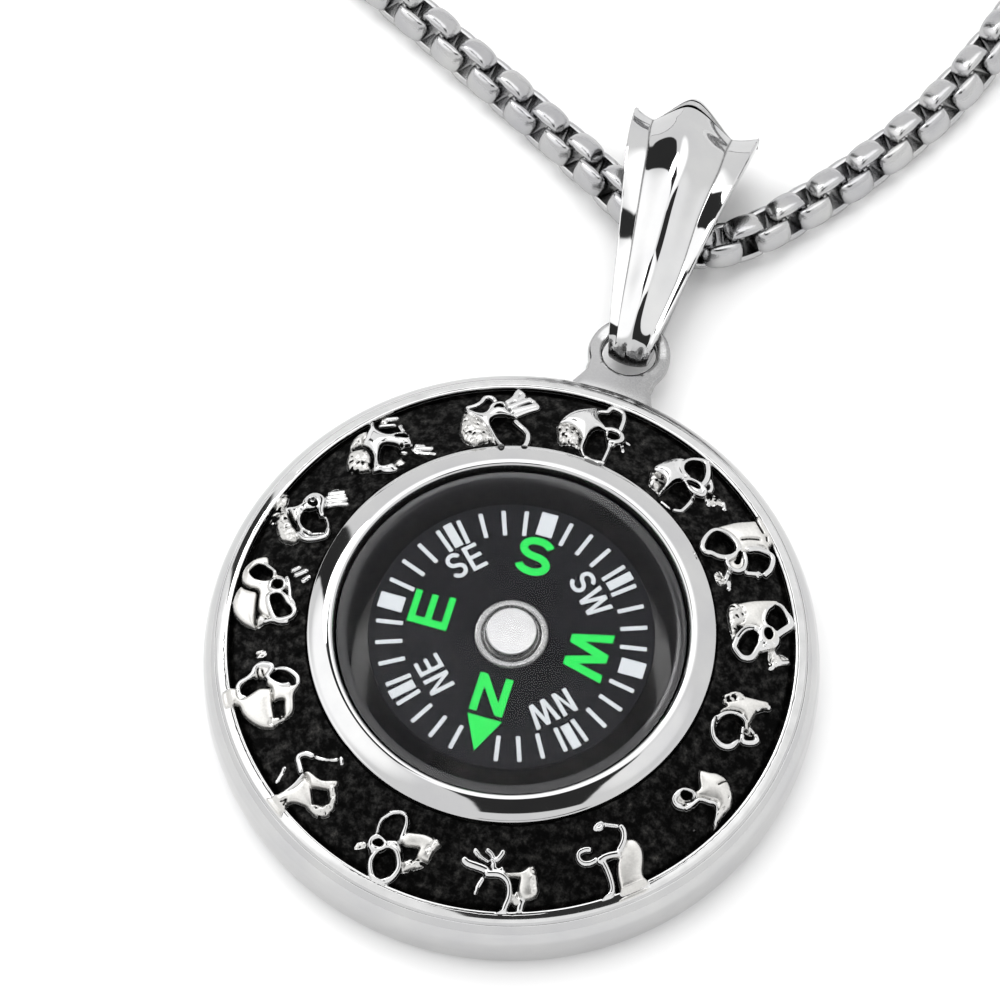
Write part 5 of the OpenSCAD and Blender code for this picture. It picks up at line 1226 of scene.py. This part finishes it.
def chain():
    line = route_points()
    seg = np.linalg.norm(np.diff(line, axis=0), axis=1)
    s = np.r_[0, np.cumsum(seg)]
    pitch = s[-1] / LINKS
    back = np.array([0.13680632, -0.38999737, 0.91059655])
    near, far = link_mesh(32, 7), link_mesh(12, 3)
    near_parts, far_parts = [], []
    at = (np.arange(LINKS) + 0.5) * pitch
    centre = np.c_[[np.interp(at, s, line[:, k]) for k in range(3)]].T
    frames, rolls = [], []
    for k in range(LINKS):
        d = np.array([np.interp(at[k] + 0.9, s, line[:, i]) - np.interp(at[k] - 0.9, s, line[:, i]) for i in range(3)])
        d /= np.linalg.norm(d)
        side = np.cross(d, [0, 0, 1.0])
        side /= np.linalg.norm(side)
        up = np.cross(side, d)
        frames.append((d, side, up))
        rolls.append(math.atan2(back @ up, back @ side))
    closes = [k for k in range(LINKS) if centre[k][1] < 75]
    first, last, calm = closes[0], closes[-1], math.radians(102)
    for k in range(LINKS):
        d, side, up = frames[k]
        close = first <= k <= last
        # the twist eases away beyond the front stretch
        edge = min(max(k, first), last)
        roll = rolls[k] if close else calm + (rolls[edge] - calm) * math.exp(-abs(k - edge) / 9.0)
        wob = rng.normal(0, 1, 6)
        a = roll + math.radians(45 + 90 * (k % 2) + 1.6 * wob[0])
        n1 = math.cos(a) * side + math.sin(a) * up
        n2 = np.cross(d, n1)
        dd = d + n2 * 0.010 * wob[1] + n1 * 0.010 * wob[2]
        dd /= np.linalg.norm(dd)
        n1 = n1 - dd * (n1 @ dd)
        n1 /= np.linalg.norm(n1)
        n2 = np.cross(dd, n1)
        v, f = near if close else far
        p = centre[k] + v[:, :1] * dd + v[:, 1:2] * n1 + v[:, 2:3] * n2
        low = p[:, 2].min()
        if low < 0.004:
            p[:, 2] += 0.004 - low
        (near_parts if close else far_parts).append((p, f))
    v, f = merge(near_parts)
    piece("chain_links_near", v, f, chain_steel, stands_for=("chain",), crease=50)
    v, f = merge(far_parts)
    piece("chain_links_far", v, f, chain_steel, stands_for=("chain",), crease=50)


chain()


# ---------------------------------------------------------------- hidden pieces

for node, mat in (("pivot_pin", pin_brass), ("clasp", clasp_steel), ("clasp_ring", clasp_steel), ("end_ring", clasp_steel)):
    ob = NODES[node]
    ob.data.materials.clear()
    ob.data.materials.append(mat)


# ---------------------------------------------------------------- stage

def floor():
    me = bpy.data.meshes.new("floor")
    s = 3.0
    me.from_pydata([(-s, -s, -0.00002), (s, -s, -0.00002), (s, s, -0.00002), (-s, s, -0.00002)], [], [(0, 1, 2, 3)])
    ob = bpy.data.objects.new("floor", me)
    bpy.context.scene.collection.objects.link(ob)
    m = bpy.data.materials.new("pale_floor")
    nt, nd, ln, bsdf = nodes_of(m)
    at = object_coords(nt, 1.0)
    wide = noise(nt, at, 3.0, 2.0, 0.5)
    ln.new(ramp(nt, wide, [(0.3, 0.86), (0.7, 0.88)]), bsdf.inputs["Base Color"])
    bsdf.inputs["Roughness"].default_value = 0.9
    bsdf.inputs["Specular IOR Level"].default_value = 0.0
    me.materials.append(m)


floor()


def area(name, at, size, watts, aim=(0, 0, 0)):
    lamp = bpy.data.lights.new(name, "AREA")
    lamp.shape = "DISK"
    lamp.size = size
    lamp.energy = watts
    ob = bpy.data.objects.new(name, lamp)
    bpy.context.scene.collection.objects.link(ob)
    p = np.array(at, float)
    z = p - np.array(aim, float)
    z /= np.linalg.norm(z)
    x = np.cross([0, 0, 1.0], z)
    x /= np.linalg.norm(x)
    y = np.cross(z, x)
    ob.matrix_world = Matrix([[x[0], y[0], z[0], p[0]], [x[1], y[1], z[1], p[1]], [x[2], y[2], z[2], p[2]], [0, 0, 0, 1]])
    return ob


area("key", (-0.62, 0.34, 0.74), 0.40, 2.6)
over = area("over", (-0.12, 0.10, 0.98), 0.55, 1.2)
over.visible_glossy = False

RIGHT, AHEAD = (0.943, 0.332, 0.0), (-0.332, 0.943, 0.0)     # across and up the picture, on the floor


def world():
    """A pale studio all round, with soft boxes as brighter patches and the gaps between them as dark ones."""
    w = bpy.data.worlds.new("studio")
    bpy.context.scene.world = w
    w.use_nodes = True
    nt = w.node_tree
    nd, ln = nt.nodes, nt.links
    bg = nd["Background"]
    co = nd.new("ShaderNodeTexCoord")

    def math_node(op, a, b):
        v = nd.new("ShaderNodeMath")
        v.operation = op
        for i, x in enumerate((a, b)):
            if isinstance(x, (int, float)):
                v.inputs[i].default_value = x
            else:
                ln.new(x, v.inputs[i])
        return v.outputs[0]

    def dot(direction):
        v = nd.new("ShaderNodeVectorMath")
        v.operation = "DOT_PRODUCT"
        d = np.array(direction, float)
        v.inputs[1].default_value = d / np.linalg.norm(d)
        ln.new(co.outputs["Generated"], v.inputs[0])
        return v.outputs["Value"]

    def rise(value, lo, hi):
        """0 below lo, 1 above hi, smooth between."""
        v = nd.new("ShaderNodeMapRange")
        v.interpolation_type = "SMOOTHSTEP"
        v.inputs["From Min"].default_value = lo
        v.inputs["From Max"].default_value = hi
        ln.new(value, v.inputs["Value"])
        return v.outputs["Result"]

    def between(value, lo, hi, soft):
        return math_node("MULTIPLY", rise(value, lo - soft, lo + soft), math_node("SUBTRACT", 1.0, rise(value, hi - soft, hi + soft)))

    total = None
    for kind, spec, soft, gain in SKY:
        if kind == "all":
            total = math_node("ADD", gain, 0.0)
            continue
        if kind == "round":
            direction, radius = spec
            mask = rise(dot(direction), math.cos(math.radians(radius + soft)), math.cos(math.radians(max(radius - soft, 0.1))))
        else:
            mask = None
            for direction, lo, hi in spec:
                m = between(dot(direction), lo, hi, soft)
                mask = m if mask is None else math_node("MULTIPLY", mask, m)
        # each patch pulls the light towards its own strength
        total = math_node("ADD", math_node("MULTIPLY", total, math_node("SUBTRACT", 1.0, mask)), math_node("MULTIPLY", mask, gain))
    path = nd.new("ShaderNodeLightPath")
    mix = nd.new("ShaderNodeMix")
    mix.data_type = "FLOAT"
    ln.new(path.outputs["Is Camera Ray"], mix.inputs["Factor"])
    ln.new(total, mix.inputs[2])
    mix.inputs[3].default_value = 1.0
    ln.new(mix.outputs[0], bg.inputs["Strength"])
    bg.inputs["Color"].default_value = (1.0, 1.0, 1.0, 1)


def side_way(degrees):
    """A level direction, in degrees anticlockwise from the picture's right, and the one square to it."""
    a = math.radians(degrees)
    r, f = np.array(RIGHT), np.array(AHEAD)
    return tuple(math.cos(a) * r + math.sin(a) * f), tuple(-math.sin(a) * r + math.cos(a) * f)


def seen(x, y, z):
    """A direction given as across, up the picture and upward."""
    return tuple(x * np.array(RIGHT) + y * np.array(AHEAD) + np.array([0, 0, z]))


# The studio's parts in turn: a round soft box (direction, radius in degrees) or a
# strip (direction, from, to, as dot products), its softness, and its strength.
GAP, GAP_ACROSS = side_way(134)
SKY = [
    ("all", None, 0, 1.33),
    ("round", (seen(-0.69, 0.13, 0.71), 25), 9, 2.15),
    ("round", (seen(0.568, -0.152, 0.809), 14), 8, 1.65),
    ("round", (seen(0.04, 0.41, 0.91), 24), 7, 2.5),
    ("strip", [(GAP, 0.22, 1.1), (GAP_ACROSS, -0.125, 0.125), ((0, 0, 1), -0.02, 1.1)], 0.012, 0.05),
    ("strip", [(RIGHT, -0.16, 0.38), ((0.332, -0.943, 0.0), 0.0, 0.62), ((0, 0, 1), 0.0, 1.1)], 0.012, 0.05),
]
world()


# ---------------------------------------------------------------- camera

def camera():
    cam = bpy.data.cameras.new("camera")
    cam.sensor_width = 36.0
    cam.lens = 193.815
    cam.clip_start = 0.01
    cam.clip_end = 20.0
    ob = bpy.data.objects.new("camera", cam)
    bpy.context.scene.collection.objects.link(ob)
    right = (0.943360604, 0.331768953, 0.000363854)
    up = (-0.30224957, 0.85897114, 0.41329624)
    back = (0.13680632, -0.38999737, 0.91059655)
    at = (0.0438826, -0.1273363, 0.3248072)
    ob.matrix_world = Matrix([[right[i], up[i], back[i], at[i]] for i in range(3)] + [[0, 0, 0, 1]])
    bpy.context.scene.camera = ob


camera()
view = bpy.context.scene.view_settings
view.view_transform = "Standard"
view.look = "None"
view.exposure = 0.0
view.gamma = 1.0
